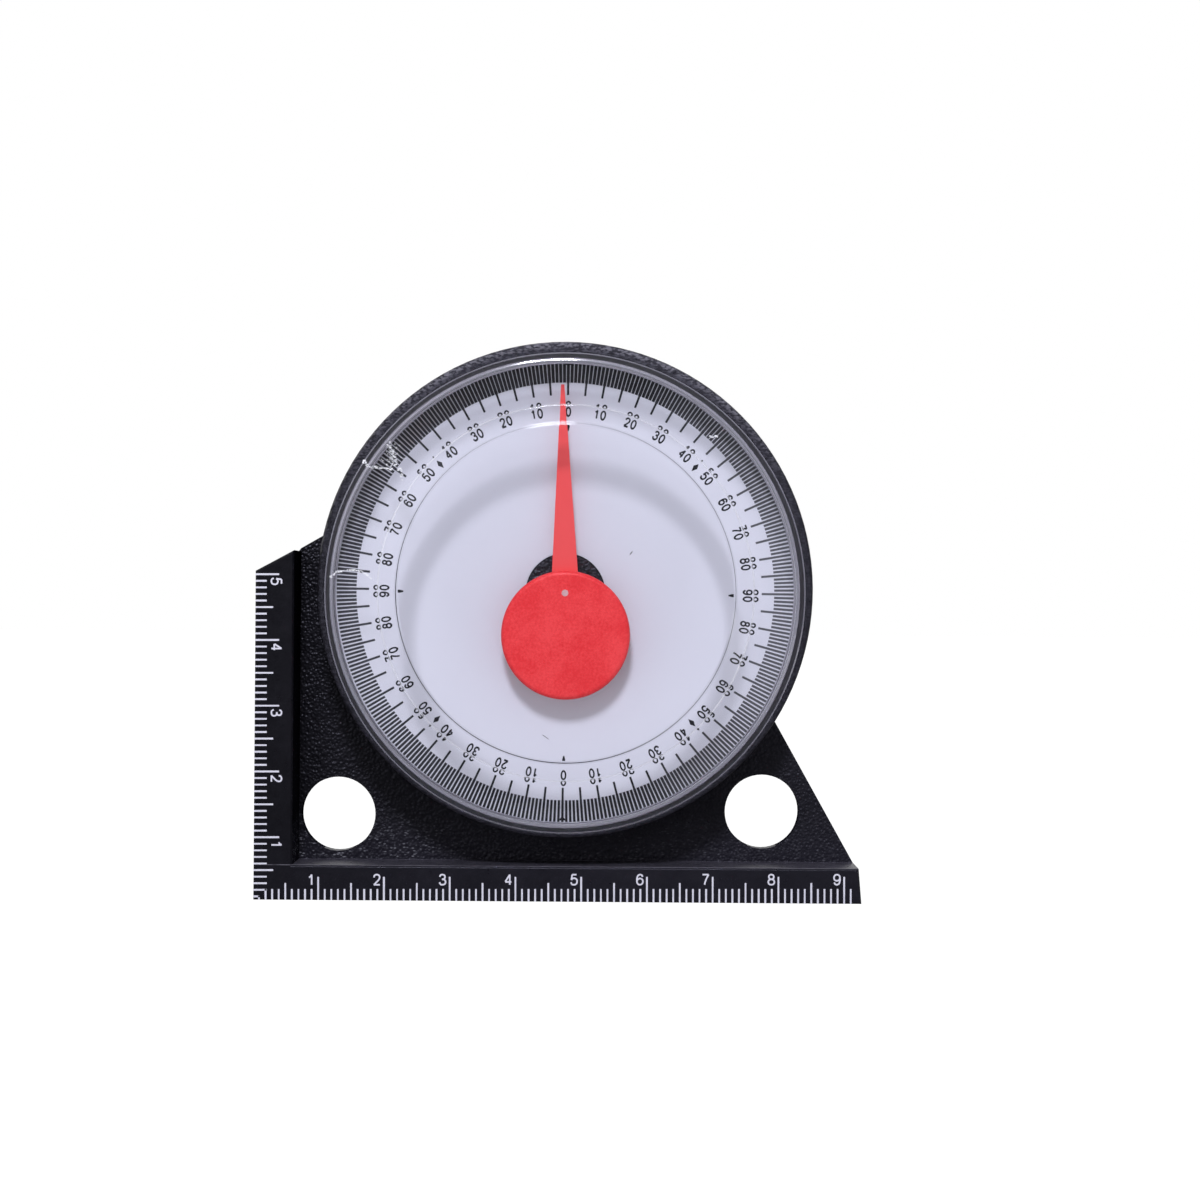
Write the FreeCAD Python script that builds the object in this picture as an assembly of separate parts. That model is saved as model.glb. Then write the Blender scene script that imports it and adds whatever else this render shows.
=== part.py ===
import FreeCAD, Part
import math
import os

# Pendulum inclinometer on a right-angled ruler frame, in millimetres.
# +Z is up, +X runs along the base ruler, and the dial faces -Y.
# The origin is the centre of the whole object's footprint, on the base's lower face.

# Frame: base wall, side wall and the web between them
base_length = 92.55
base_band = 5.35
base_end_taper = 0.45
side_band = 5.85
side_band_rear = 4.6
side_height = 50.05
side_slant_deg = 28.5
frame_depth = 21.0
frame_edge_bevel = 0.25
web_thickness = 2.5
web_corner_rise = 0.5
web_top_slope_deg = 29.9
gusset_slope_deg = 60.65

# Hanging holes in the web
hole_radius = 5.75
left_hole_side_gap = 0.35
left_hole_base_gap = 1.3
right_hole_end_inset = 14.7
right_hole_base_gap = 2.1

# Cup: the round case that holds the dial, struck a little above the dial's axis
dial_axis_inset = 47.1
dial_axis_height = 47.0
cup_radius = 37.65
cup_rise = 0.5
rim_proud = 1.0
rim_round = 0.45
dial_recess = 5.7
shelf_width = 2.6
inner_rib_count = 6
inner_rib_thickness = 1.2

# Stiffening behind the web
rear_ring_height = 3.0
rear_ring_thickness = 1.5
rear_rib_count = 6
rear_rib_thickness = 1.5

# Boss in the middle of the cup
boss_radius = 6.0
boss_proud = 0.6
boss_rear_length = 3.0
boss_pocket_radius = 3.2
boss_pocket_depth = 3.65

# Dial plate and its tape
dial_radius = 35.5
dial_thickness = 0.65
tape_thickness = 0.15
dial_rim_clearance = 0.1
dial_boss_clearance = 0.15
tape_edge_inset = 0.2

# Lens cover
lens_flange_radius = 36.45
lens_flange_thickness = 1.0
lens_wall_base_radius = 35.5
lens_wall_front_radius = 35.4
lens_wall_thickness = 0.6
lens_proud = 4.1
lens_front_thickness = 1.0
lens_thick_extra = 0.8
lens_window_radius = 25.3
lens_bevel_width = 3.25
lens_edge_bevel = 0.3
lens_seat_clearance = 0.15

# Pendulum: needle, weight, axle and what is on the axle
needle_reach = 31.85
needle_root_width = 4.35
needle_tip_width = 0.5
needle_thickness = 0.8
needle_backing_radius = 8.6
pendulum_lean_deg = 1.1
weight_radius = 9.83
weight_drop = 6.43
weight_thickness = 2.0
weight_edge_round = 0.7
axle_radius = 0.5
axle_front_proud = 0.08
axle_tail = 1.2
collar_radius = 1.8
collar_length = 0.6
washer_radius = 1.5
washer_thickness = 0.2
clip_radius = 1.6
clip_thickness = 0.4

# Bearing
sleeve_radius = 1.5
sleeve_length = 7.0
sleeve_flange_radius = 2.5
sleeve_flange_thickness = 0.4
plug_thickness = 1.0
plug_chamfer = 0.2

# Base magnets and their keeper plate
magnet_count = 3
magnet_length = 20.0
magnet_width = 11.6
magnet_thickness = 2.0
magnet_recess = 0.1
keeper_thickness = 1.0

# Clearances between pieces
running_clearance = 0.05
end_float = 0.12
press_line = 0.01
slot_clearance = 0.2
overrun = 1.0

# Planes along Y, from the lens's front to the frame's back
web_mid_y = (rim_proud + lens_proud) / 2
band_y = web_mid_y - frame_depth / 2
back_y = web_mid_y + frame_depth / 2
web_front_y = web_mid_y - web_thickness / 2
web_back_y = web_mid_y + web_thickness / 2
rim_y = band_y - rim_proud
lens_front_y = rim_y - lens_proud
ledge_y = rim_y + lens_flange_thickness
dial_y = rim_y + dial_recess
tape_y = dial_y + dial_thickness
shelf_y = tape_y + tape_thickness
boss_front_y = dial_y - boss_proud
boss_back_y = web_back_y + boss_rear_length
pocket_y = boss_back_y - boss_pocket_depth
sleeve_front_y = boss_front_y - sleeve_flange_thickness
sleeve_back_y = boss_front_y + sleeve_length
washer_front_y = sleeve_front_y - washer_thickness
collar_back_y = washer_front_y - end_float
needle_back_y = collar_back_y - collar_length
weight_back_y = needle_back_y - needle_thickness
weight_front_y = weight_back_y - weight_thickness
clip_front_y = sleeve_back_y + end_float
axle_back_y = clip_front_y + clip_thickness + axle_tail

# Places in the face of the frame
left_x = -base_length / 2
right_x = base_length / 2
dial_x = left_x + dial_axis_inset
dial_z = dial_axis_height
cup_z = dial_z + cup_rise
bore_radius = dial_radius + dial_rim_clearance
seat_radius = lens_flange_radius + lens_seat_clearance
shelf_radius = bore_radius - shelf_width
left_hole_x = left_x + side_band + left_hole_side_gap + hole_radius
left_hole_z = base_band + left_hole_base_gap + hole_radius
right_hole_x = right_x - right_hole_end_inset
right_hole_z = base_band + right_hole_base_gap + hole_radius
magnet_row_length = magnet_count * magnet_length + (magnet_count - 1) * slot_clearance
slot_length = magnet_row_length + 2 * slot_clearance
slot_width = magnet_width + 2 * slot_clearance
slot_depth = magnet_recess + magnet_thickness + keeper_thickness

back_axis = FreeCAD.Vector(0, 1, 0)


def slab(points, front_y, rear_y):
    """Plate with an outline of (x, z) points, from front_y to rear_y."""
    corners = [FreeCAD.Vector(x, front_y, z) for x, z in points]
    outline = Part.makePolygon(corners + corners[:1])
    return Part.Face(outline).extrude(FreeCAD.Vector(0, rear_y - front_y, 0))


def disc(radius, front_y, rear_y, x=dial_x, z=dial_z):
    """Round plate or rod along Y about the given centre."""
    start = FreeCAD.Vector(x, front_y, z)
    return Part.makeCylinder(radius, rear_y - front_y, start, back_axis)


def ring(outer_radius, inner_radius, front_y, rear_y):
    """Ring along Y about the dial's axis."""
    hole = disc(inner_radius, front_y - overrun, rear_y + overrun)
    return disc(outer_radius, front_y, rear_y).cut(hole)


def turned(profile):
    """Solid turned about the dial's axis from (radius, y) points."""
    corners = [FreeCAD.Vector(dial_x + radius, y, dial_z) for radius, y in profile]
    outline = Part.makePolygon(corners + corners[:1])
    centre = FreeCAD.Vector(dial_x, 0, dial_z)
    return Part.Face(outline).revolve(centre, back_axis, 360)


def edges_in_plane(shape, y):
    """Edges whose ends all lie in the plane across Y."""
    tolerance = frame_edge_bevel / 10
    return [edge for edge in shape.Edges if all(abs(v.Y - y) < tolerance for v in edge.Vertexes)]


def foot_on_line(start, slope_deg, leftward):
    """Point of a sloping edge line that is nearest to the dial's axis."""
    angle = math.radians(slope_deg)
    run = -math.cos(angle) if leftward else math.cos(angle)
    rise = math.sin(angle)
    travel = (dial_x - start[0]) * run + (dial_z - start[1]) * rise
    return (start[0] + travel * run, start[1] + travel * rise)


def spokes(count, thickness, reach, front_y, rear_y):
    """Straight ribs from the dial's axis outwards, evenly turned."""
    ribs = []
    for index in range(count):
        corner = FreeCAD.Vector(dial_x - thickness / 2, front_y, dial_z)
        rib = Part.makeBox(thickness, rear_y - front_y, reach, corner)
        rib.rotate(FreeCAD.Vector(dial_x, 0, dial_z), back_axis, 360 * index / count)
        ribs.append(rib)
    return ribs


def wall_plate(side_width, front_y, rear_y):
    """Base and side wall over part of the frame's depth, as one right-angled plate."""
    side_top = side_height + side_width * math.tan(math.radians(side_slant_deg))
    outline = [
        (left_x, 0),
        (right_x, 0),
        (right_x - base_end_taper, base_band),
        (left_x + side_width, base_band),
        (left_x + side_width, side_top),
        (left_x, side_height),
    ]
    return slab(outline, front_y, rear_y)


def frame_walls():
    """Base wall and side wall with bevelled edges; the side wall is thinner behind the web."""
    front_half = wall_plate(side_band, band_y, web_back_y)
    rear_half = wall_plate(side_band_rear, web_back_y, back_y)
    walls = front_half.fuse(rear_half).removeSplitter()
    edges = edges_in_plane(walls, band_y) + edges_in_plane(walls, back_y)
    return walls.makeChamfer(frame_edge_bevel, edges)


def web():
    """Thin plate between the walls and the cup, at the middle of the frame's depth."""
    side_top = side_height + side_band * math.tan(math.radians(side_slant_deg))
    corner_left = (left_x + side_band, side_top + web_corner_rise)
    corner_right = (right_x - base_end_taper, base_band)
    outline = [
        (left_x + side_band / 2, base_band / 2),
        (right_x - base_end_taper, base_band / 2),
        corner_right,
        foot_on_line(corner_right, gusset_slope_deg, True),
        foot_on_line(corner_left, web_top_slope_deg, False),
        corner_left,
        (left_x + side_band / 2, side_height),
    ]
    return slab(outline, web_front_y, web_back_y)


def cup_body():
    """Outside of the round case, with its rounded rim and the ring behind the web."""
    barrel = disc(cup_radius, rim_y, web_back_y + rear_ring_height, dial_x, cup_z)
    barrel = barrel.makeFillet(rim_round, edges_in_plane(barrel, rim_y))
    rear_pocket_radius = cup_radius - rear_ring_thickness
    rear_end_y = web_back_y + rear_ring_height + overrun
    return barrel.cut(disc(rear_pocket_radius, web_back_y, rear_end_y, dial_x, cup_z))


def cup_hollow():
    """What is taken out of the cup: lens seat, dial bore and the space under the dial."""
    seat = disc(seat_radius, rim_y - overrun, ledge_y)
    bore = disc(bore_radius, rim_y - overrun, shelf_y)
    under = ring(shelf_radius, boss_radius, shelf_y - overrun, web_front_y)
    ribs = spokes(inner_rib_count, inner_rib_thickness, cup_radius, shelf_y, web_front_y)
    under = under.cut(Part.makeCompound(ribs))
    return seat.fuse([bore, under])


def rear_ribs():
    """Radial ribs behind the web, from the boss to the ring."""
    reach = cup_radius - rear_ring_thickness / 2
    height_end = web_back_y + rear_ring_height
    return spokes(rear_rib_count, rear_rib_thickness, reach, web_mid_y, height_end)


def boss():
    """Central boss, from behind the pendulum to behind the web."""
    return disc(boss_radius, boss_front_y, boss_back_y)


def boss_bore():
    """Stepped hole of the boss: the sleeve's bore and the pocket behind it."""
    bore = disc(sleeve_radius + press_line, boss_front_y - overrun, pocket_y + overrun)
    pocket = disc(boss_pocket_radius, pocket_y, boss_back_y + overrun)
    return bore.fuse(pocket)


def magnet_slot():
    """Slot in the base's lower face for the magnets and the keeper."""
    corner = FreeCAD.Vector(-slot_length / 2, web_mid_y - slot_width / 2, -overrun)
    return Part.makeBox(slot_length, slot_width, slot_depth + overrun, corner)


def hanging_holes():
    """Two round holes through the web."""
    front = web_front_y - overrun
    rear = web_back_y + overrun
    left = disc(hole_radius, front, rear, left_hole_x, left_hole_z)
    right = disc(hole_radius, front, rear, right_hole_x, right_hole_z)
    return [left, right]


def housing():
    """Black moulding: frame walls, web, cup and boss."""
    shell = frame_walls().fuse([web(), cup_body()])
    shell = shell.cut(cup_hollow())
    shell = shell.fuse([boss()] + rear_ribs())
    shell = shell.cut([boss_bore(), magnet_slot()] + hanging_holes())
    return shell.removeSplitter()


def dial_plate():
    """Flat round plate that carries the degree scale."""
    return ring(dial_radius, boss_radius + dial_boss_clearance, dial_y, tape_y)


def dial_tape():
    """Tape ring between the dial and its shelf."""
    return ring(dial_radius - tape_edge_inset, shelf_radius + tape_edge_inset, tape_y, shelf_y)


def lens_cover():
    """Clear cap: flange, side wall and a front that is thinner over its window."""
    inner_y = lens_front_y + lens_front_thickness
    thick_y = inner_y + lens_thick_extra
    bevel_radius = lens_window_radius + lens_bevel_width
    wall_inner_front = lens_wall_front_radius - lens_wall_thickness
    wall_inner_base = lens_wall_base_radius - lens_wall_thickness
    profile = [
        (0, lens_front_y),
        (lens_wall_front_radius - lens_edge_bevel, lens_front_y),
        (lens_wall_front_radius, lens_front_y + lens_edge_bevel),
        (lens_wall_base_radius, rim_y),
        (lens_flange_radius - lens_edge_bevel, rim_y),
        (lens_flange_radius, rim_y + lens_edge_bevel),
        (lens_flange_radius, ledge_y),
        (wall_inner_base, ledge_y),
        (wall_inner_front, thick_y),
        (bevel_radius, thick_y),
        (lens_window_radius, inner_y),
        (0, inner_y),
    ]
    return turned(profile)


def leaned(shape):
    """Pendulum piece at its rest angle, a little to the left of the dial's upper zero."""
    shape.rotate(FreeCAD.Vector(dial_x, 0, dial_z), back_axis, -pendulum_lean_deg)
    return shape


def pointer_needle():
    """Tapered needle on a round backing that carries the weight."""
    outline = [
        (dial_x - needle_root_width / 2, dial_z),
        (dial_x + needle_root_width / 2, dial_z),
        (dial_x + needle_tip_width / 2, dial_z + needle_reach),
        (dial_x - needle_tip_width / 2, dial_z + needle_reach),
    ]
    blade = slab(outline, weight_back_y, needle_back_y)
    backing = disc(needle_backing_radius, weight_back_y, needle_back_y, dial_x, dial_z - weight_drop)
    hole = disc(axle_radius + press_line, weight_back_y - overrun, needle_back_y + overrun)
    return leaned(blade.fuse(backing).cut(hole).removeSplitter())


def pendulum_weight():
    """Round weight that hangs below the pivot, with a rounded front edge."""
    body = disc(weight_radius, weight_front_y, weight_back_y, dial_x, dial_z - weight_drop)
    body = body.makeFillet(weight_edge_round, edges_in_plane(body, weight_front_y))
    hole = disc(axle_radius + press_line, weight_front_y - overrun, weight_back_y + overrun)
    return leaned(body.cut(hole))


def pivot_axle():
    """Steel axle of the pendulum."""
    return disc(axle_radius, weight_front_y - axle_front_proud, axle_back_y)


def hub_collar():
    """Collar pressed on the axle behind the needle."""
    return ring(collar_radius, axle_radius + press_line, needle_back_y, collar_back_y)


def thrust_washer():
    """Washer between the collar and the sleeve's flange."""
    return ring(washer_radius, axle_radius + running_clearance, washer_front_y, sleeve_front_y)


def bearing_sleeve():
    """Flanged sleeve that the axle turns in."""
    flange = disc(sleeve_flange_radius, sleeve_front_y, boss_front_y)
    barrel = disc(sleeve_radius, boss_front_y, sleeve_back_y)
    bore = disc(axle_radius + running_clearance, sleeve_front_y - overrun, sleeve_back_y + overrun)
    return flange.fuse(barrel).cut(bore).removeSplitter()


def retaining_clip():
    """Push-on clip behind the sleeve."""
    return ring(clip_radius, axle_radius + press_line, clip_front_y, clip_front_y + clip_thickness)


def boss_plug():
    """Plug that closes the boss, flush with its rear face."""
    plug_radius = boss_pocket_radius - press_line
    front = boss_back_y - plug_thickness
    profile = [
        (0, front),
        (plug_radius, front),
        (plug_radius, boss_back_y - plug_chamfer),
        (plug_radius - plug_chamfer, boss_back_y),
        (0, boss_back_y),
    ]
    return turned(profile)


def base_magnet(index):
    """One bar magnet of the row in the base, counted from the left."""
    start_x = -magnet_row_length / 2 + index * (magnet_length + slot_clearance)
    corner = FreeCAD.Vector(start_x, web_mid_y - magnet_width / 2, magnet_recess)
    return Part.makeBox(magnet_length, magnet_width, magnet_thickness, corner)


def magnet_keeper():
    """Steel plate over the magnets, against the slot's roof."""
    corner = FreeCAD.Vector(-magnet_row_length / 2, web_mid_y - magnet_width / 2, magnet_recess + magnet_thickness)
    return Part.makeBox(magnet_row_length, magnet_width, keeper_thickness, corner)


def all_pieces():
    """Every piece by its node's name."""
    pieces = {
        "housing": housing(),
        "dial_plate": dial_plate(),
        "dial_tape": dial_tape(),
        "lens_cover": lens_cover(),
        "pointer_needle": pointer_needle(),
        "pendulum_weight": pendulum_weight(),
        "pivot_axle": pivot_axle(),
        "hub_collar": hub_collar(),
        "thrust_washer": thrust_washer(),
        "bearing_sleeve": bearing_sleeve(),
        "retaining_clip": retaining_clip(),
        "boss_plug": boss_plug(),
        "magnet_keeper": magnet_keeper(),
    }
    for index in range(magnet_count):
        pieces["base_magnet_" + str(index + 1)] = base_magnet(index)
    return pieces


os.makedirs("parts", exist_ok=True)
for node, shape in all_pieces().items():
    shape.exportStep("parts/" + node + ".step")
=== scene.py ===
"""Pendulum inclinometer: its finishes, printed scales and clear cover, with camera and light."""
import logging
import math
from dataclasses import dataclass, field
from enum import Enum
from typing import Iterable, Optional

import bpy
import numpy as np
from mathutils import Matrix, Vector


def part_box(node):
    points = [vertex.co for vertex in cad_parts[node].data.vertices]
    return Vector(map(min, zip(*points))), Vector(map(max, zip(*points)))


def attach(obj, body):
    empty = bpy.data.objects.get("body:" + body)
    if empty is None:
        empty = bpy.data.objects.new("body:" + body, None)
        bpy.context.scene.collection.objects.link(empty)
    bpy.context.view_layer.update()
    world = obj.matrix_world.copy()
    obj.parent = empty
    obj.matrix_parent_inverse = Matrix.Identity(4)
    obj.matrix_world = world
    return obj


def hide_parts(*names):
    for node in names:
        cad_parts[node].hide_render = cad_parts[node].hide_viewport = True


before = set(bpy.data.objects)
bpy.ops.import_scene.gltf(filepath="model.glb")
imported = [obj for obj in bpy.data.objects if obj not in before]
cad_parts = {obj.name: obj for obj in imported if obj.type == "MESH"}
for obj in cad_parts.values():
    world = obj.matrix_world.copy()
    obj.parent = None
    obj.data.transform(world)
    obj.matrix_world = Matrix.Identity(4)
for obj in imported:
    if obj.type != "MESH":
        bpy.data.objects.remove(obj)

Array = np.ndarray
Colour = tuple[float, float, float]
Span = tuple[float, float]
MeshArrays = tuple[Array, list]
Material = bpy.types.Material
Piece = bpy.types.Object
Socket = bpy.types.NodeSocket

MM = 0.001
FULL_TURN = 2 * math.pi
FRAME_BODY = "frame"
CELL_SMOOTHNESS = 0.35
WHITE = (1.0, 1.0, 1.0)
BLACK = (0.0, 0.0, 0.0)

log = logging.getLogger("inclinometer")
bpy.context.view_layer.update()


class CoverZone(Enum):
    """Parts of the clear cover that take a finish of their own, by material slot."""

    CLEAR = 0
    STEP = 1
    WALL = 2
    EDGE = 3
    GLINT = 4
    FLANGE = 5
    FACET = 6
    SHOULDER = 7


# Mesh helpers


def new_piece(name: str, arrays: MeshArrays, finishes: Iterable[Material], body: str = FRAME_BODY,
              smooth_deg: Optional[float] = None) -> Piece:
    """Puts vertex and face arrays into one object that rides on a body.

    Args:
        name: the piece's name.
        arrays: (n, 3) vertices in millimetres, in the row frame, and face arrays of one corner
            count each.
        finishes: the piece's materials, in the order of their slots.
        body: the body the piece rides on.
        smooth_deg: shade smooth up to this angle, or flat where it is None.

    Returns:
        The new object, at the origin.
    """
    verts, faces = arrays
    mesh = bpy.data.meshes.new(name)
    rows = [row for group in faces for row in np.asarray(group).tolist()]
    mesh.from_pydata((np.asarray(verts) * MM).tolist(), [], rows)
    mesh.validate()
    if smooth_deg is not None:
        mesh.shade_smooth()
        mesh.set_sharp_from_angle(angle=math.radians(smooth_deg))
    for finish in finishes:
        mesh.materials.append(finish)
    piece = bpy.data.objects.new(name, mesh)
    bpy.context.scene.collection.objects.link(piece)
    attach(piece, body)
    return piece


def rounded_profile(points: Array, radii: Array, steps: int) -> Array:
    """Rounds the corners of an open profile.

    Each corner is replaced by a circle arc that touches both of its sides. The touching points lie
    radius / tan(half the corner's angle) from the corner, and the arc turns evenly between them.

    Args:
        points: (n, 2) corners.
        radii: n rounding radii, zero where a corner stays sharp.
        steps: spans of each arc.

    Returns:
        (m, 2) points of the rounded profile.
    """
    out = [points[:1]]
    for index in range(1, len(points) - 1):
        corner, radius = points[index], radii[index]
        if radius <= 0:
            out.append(corner[None])
            continue
        back = points[index - 1] - corner
        ahead = points[index + 1] - corner
        back = back / np.linalg.norm(back)
        ahead = ahead / np.linalg.norm(ahead)
        half = math.acos(np.clip(back @ ahead, -1, 1)) / 2
        middle = back + ahead
        centre = corner + middle / np.linalg.norm(middle) * radius / math.sin(half)
        spoke_a = corner + back * radius / math.tan(half) - centre
        spoke_b = corner + ahead * radius / math.tan(half) - centre
        turn = math.atan2(spoke_a[0] * spoke_b[1] - spoke_a[1] * spoke_b[0], spoke_a @ spoke_b)
        angle = np.linspace(0, turn, steps + 1)
        arc_x = spoke_a[0] * np.cos(angle) - spoke_a[1] * np.sin(angle)
        arc_y = spoke_a[0] * np.sin(angle) + spoke_a[1] * np.cos(angle)
        out.append(centre + np.stack([arc_x, arc_y], axis=1))
    out.append(points[-1:])
    return np.concatenate(out)


def turned(profile: Array, centre: Array, segments: int, shift: Array) -> MeshArrays:
    """Closed surface of a profile turned about an axis along Y.

    A point of the surface is centre + radius * (sin a, cos a) across and y along, for a profile of
    (radius, y) from one pole on the axis to the other, and angle a from 0 to a full turn.

    Args:
        profile: (n, 2) points whose first and last radius is zero.
        centre: (x, z) of the axis.
        segments: steps round the axis.
        shift: (n, 2) sideways moves of the profile's rings.

    Returns:
        Vertices and the face groups.
    """
    rim = profile[1:-1]
    angle = np.linspace(0, FULL_TURN, segments, endpoint=False)
    x = centre[0] + shift[1:-1, :1] + rim[:, :1] * np.sin(angle)
    z = centre[1] + shift[1:-1, 1:] + rim[:, :1] * np.cos(angle)
    y = np.broadcast_to(rim[:, 1:], x.shape)
    grid = np.stack([x, y, z], axis=2).reshape(-1, 3)
    poles = np.array([[centre[0], profile[0, 1], centre[1]], [centre[0], profile[-1, 1], centre[1]]])
    verts = np.concatenate([grid, poles])
    ids = np.arange(len(rim) * segments).reshape(len(rim), segments)
    nxt = np.roll(ids, -1, axis=1)
    quads = np.stack([ids[:-1], nxt[:-1], nxt[1:], ids[1:]], axis=2).reshape(-1, 4)
    first = np.stack([np.full(segments, len(grid)), nxt[0], ids[0]], axis=1)
    last = np.stack([np.full(segments, len(grid) + 1), ids[-1], nxt[-1]], axis=1)
    return verts, [quads, first, last]


def bars(starts: Array, ends: Array, widths: Array, front_y: float, back_y: float) -> MeshArrays:
    """Straight flat bars, each a closed box along its own line in the XZ plane.

    A bar's four corners are its two ends, moved half its width to either side across its line.

    Args:
        starts: (n, 2) places of one end, (x, z).
        ends: (n, 2) places of the other end.
        widths: n widths.
        front_y: the face towards the reader.
        back_y: the face on the ground.

    Returns:
        Vertices and the face groups.
    """
    along = ends - starts
    along = along / np.linalg.norm(along, axis=1, keepdims=True)
    side = np.stack([along[:, 1], -along[:, 0]], axis=1) * widths[:, None] / 2
    corners = np.stack([starts - side, starts + side, ends + side, ends - side], axis=1)
    return prisms(corners, front_y, back_y)


def prisms(outlines: Array, front_y: float, back_y: float) -> MeshArrays:
    """Closed prisms along Y on outlines that all have the same number of corners.

    Args:
        outlines: (n, k, 2) corners (x, z), counterclockwise as the reader sees them.
        front_y: the face towards the reader.
        back_y: the face on the ground.

    Returns:
        Vertices and the face groups.
    """
    count, size, _ = outlines.shape
    front = np.insert(outlines, 1, front_y, axis=2)
    back = np.insert(outlines, 1, back_y, axis=2)
    verts = np.concatenate([front, back], axis=1).reshape(-1, 3)
    base = np.arange(count)[:, None] * 2 * size
    ring = np.arange(size)[None]
    nxt = np.roll(ring, -1, axis=1)
    caps_front = base + ring
    caps_back = base + size + ring[:, ::-1]
    sides = np.stack([base + nxt, base + ring, base + size + ring, base + size + nxt], axis=2)
    return verts, [caps_front, caps_back, sides.reshape(-1, 4)]


def merged(parts: Iterable[MeshArrays]) -> MeshArrays:
    """Joins several meshes' arrays into one.

    Args:
        parts: pairs of vertices and face groups.

    Returns:
        Vertices and all the face groups, renumbered.
    """
    verts, faces, offset = [], [], 0
    for part_verts, part_faces in parts:
        verts.append(part_verts)
        faces.extend(group + offset for group in part_faces)
        offset += len(part_verts)
    return np.concatenate(verts), faces


def smoothed(points: Array, closed: bool, steps: int) -> Array:
    """Smooth curve through points.

    Between neighbours b and c, with a before and d after them, the curve at share t is half of
    2b + (c - a) t + (2a - 5b + 4c - d) t^2 + (3b - a - 3c + d) t^3.

    Args:
        points: (n, 2) points.
        closed: whether the last point leads back to the first.
        steps: spans between two points.

    Returns:
        (m, 2) points of the curve.
    """
    if closed:
        row = np.concatenate([points[-1:], points, points[:2]])
    else:
        row = np.concatenate([2 * points[:1] - points[1:2], points, 2 * points[-1:] - points[-2:-1]])
    a, b, c, d = (row[k:len(row) - 3 + k, None] for k in range(4))
    t = (np.arange(steps) / steps)[None, :, None]
    curve = (2 * b + (c - a) * t + (2 * a - 5 * b + 4 * c - d) * t**2 + (3 * b - a - 3 * c + d) * t**3) / 2
    path = curve.reshape(-1, 2)
    return path if closed else np.concatenate([path, points[-1:]])


def ribbon(path: Array, width: float | Array, front_y: float, back_y: float, closed: bool) -> MeshArrays:
    """Flat ribbon along a path in the XZ plane.

    Each point of the path is moved half the width to its left and right, square to the line
    between its neighbours, on the front and on the back.

    Args:
        path: (n, 2) points (x, z).
        width: the ribbon's width, or an (n, 1) array of widths.
        front_y: the face towards the reader.
        back_y: the face on the ground.
        closed: whether the path is a loop.

    Returns:
        Vertices and the face groups.
    """
    count = len(path)
    if closed:
        along = np.roll(path, -1, axis=0) - np.roll(path, 1, axis=0)
    else:
        along = np.gradient(path, axis=0)
    along = along / np.linalg.norm(along, axis=1, keepdims=True)
    left = np.stack([-along[:, 1], along[:, 0]], axis=1) * width / 2
    rows = [(path + left, front_y), (path - left, front_y), (path - left, back_y), (path + left, back_y)]
    verts = np.concatenate([np.insert(points, 1, y, axis=1) for points, y in rows])
    ids = np.arange(4 * count).reshape(4, count)
    up = np.roll(ids, -1, axis=0)
    if closed:
        quads = np.stack([ids, up, np.roll(up, -1, axis=1), np.roll(ids, -1, axis=1)], axis=2)
        return verts, [quads.reshape(-1, 4)]
    quads = np.stack([ids[:, :-1], up[:, :-1], up[:, 1:], ids[:, 1:]], axis=2)
    caps = np.stack([ids[::-1, 0], ids[:, -1]])
    return verts, [quads.reshape(-1, 4), caps]


def hoop(centre: Array, radius: float, widths: Array, front_y: float, back_y: float,
         steps: int = 360) -> MeshArrays:
    """Flat circle whose line changes its width round the way.

    Args:
        centre: (x, z) of its middle.
        radius: radius of the line's middle.
        widths: the line's widths at equal turns from the top, clockwise.
        front_y: the face towards the reader.
        back_y: the face on the ground.
        steps: points of the circle.

    Returns:
        Vertices and the face groups.
    """
    angle = np.linspace(0, FULL_TURN, steps, endpoint=False)
    width = np.interp(angle, np.linspace(0, FULL_TURN, len(widths) + 1), np.append(widths, widths[0]))
    path = centre + radius * np.stack([np.sin(angle), np.cos(angle)], axis=1)
    return ribbon(path, width[:, None], front_y, back_y, True)


@dataclass(frozen=True)
class Stroke:
    """One pen stroke of a digit, in a box one wide and one high."""

    points: tuple
    curved: bool = True
    closed: bool = False


def line(*points: tuple[float, float]) -> Stroke:
    """A stroke of straight pieces."""
    return Stroke(points, curved=False)


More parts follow.
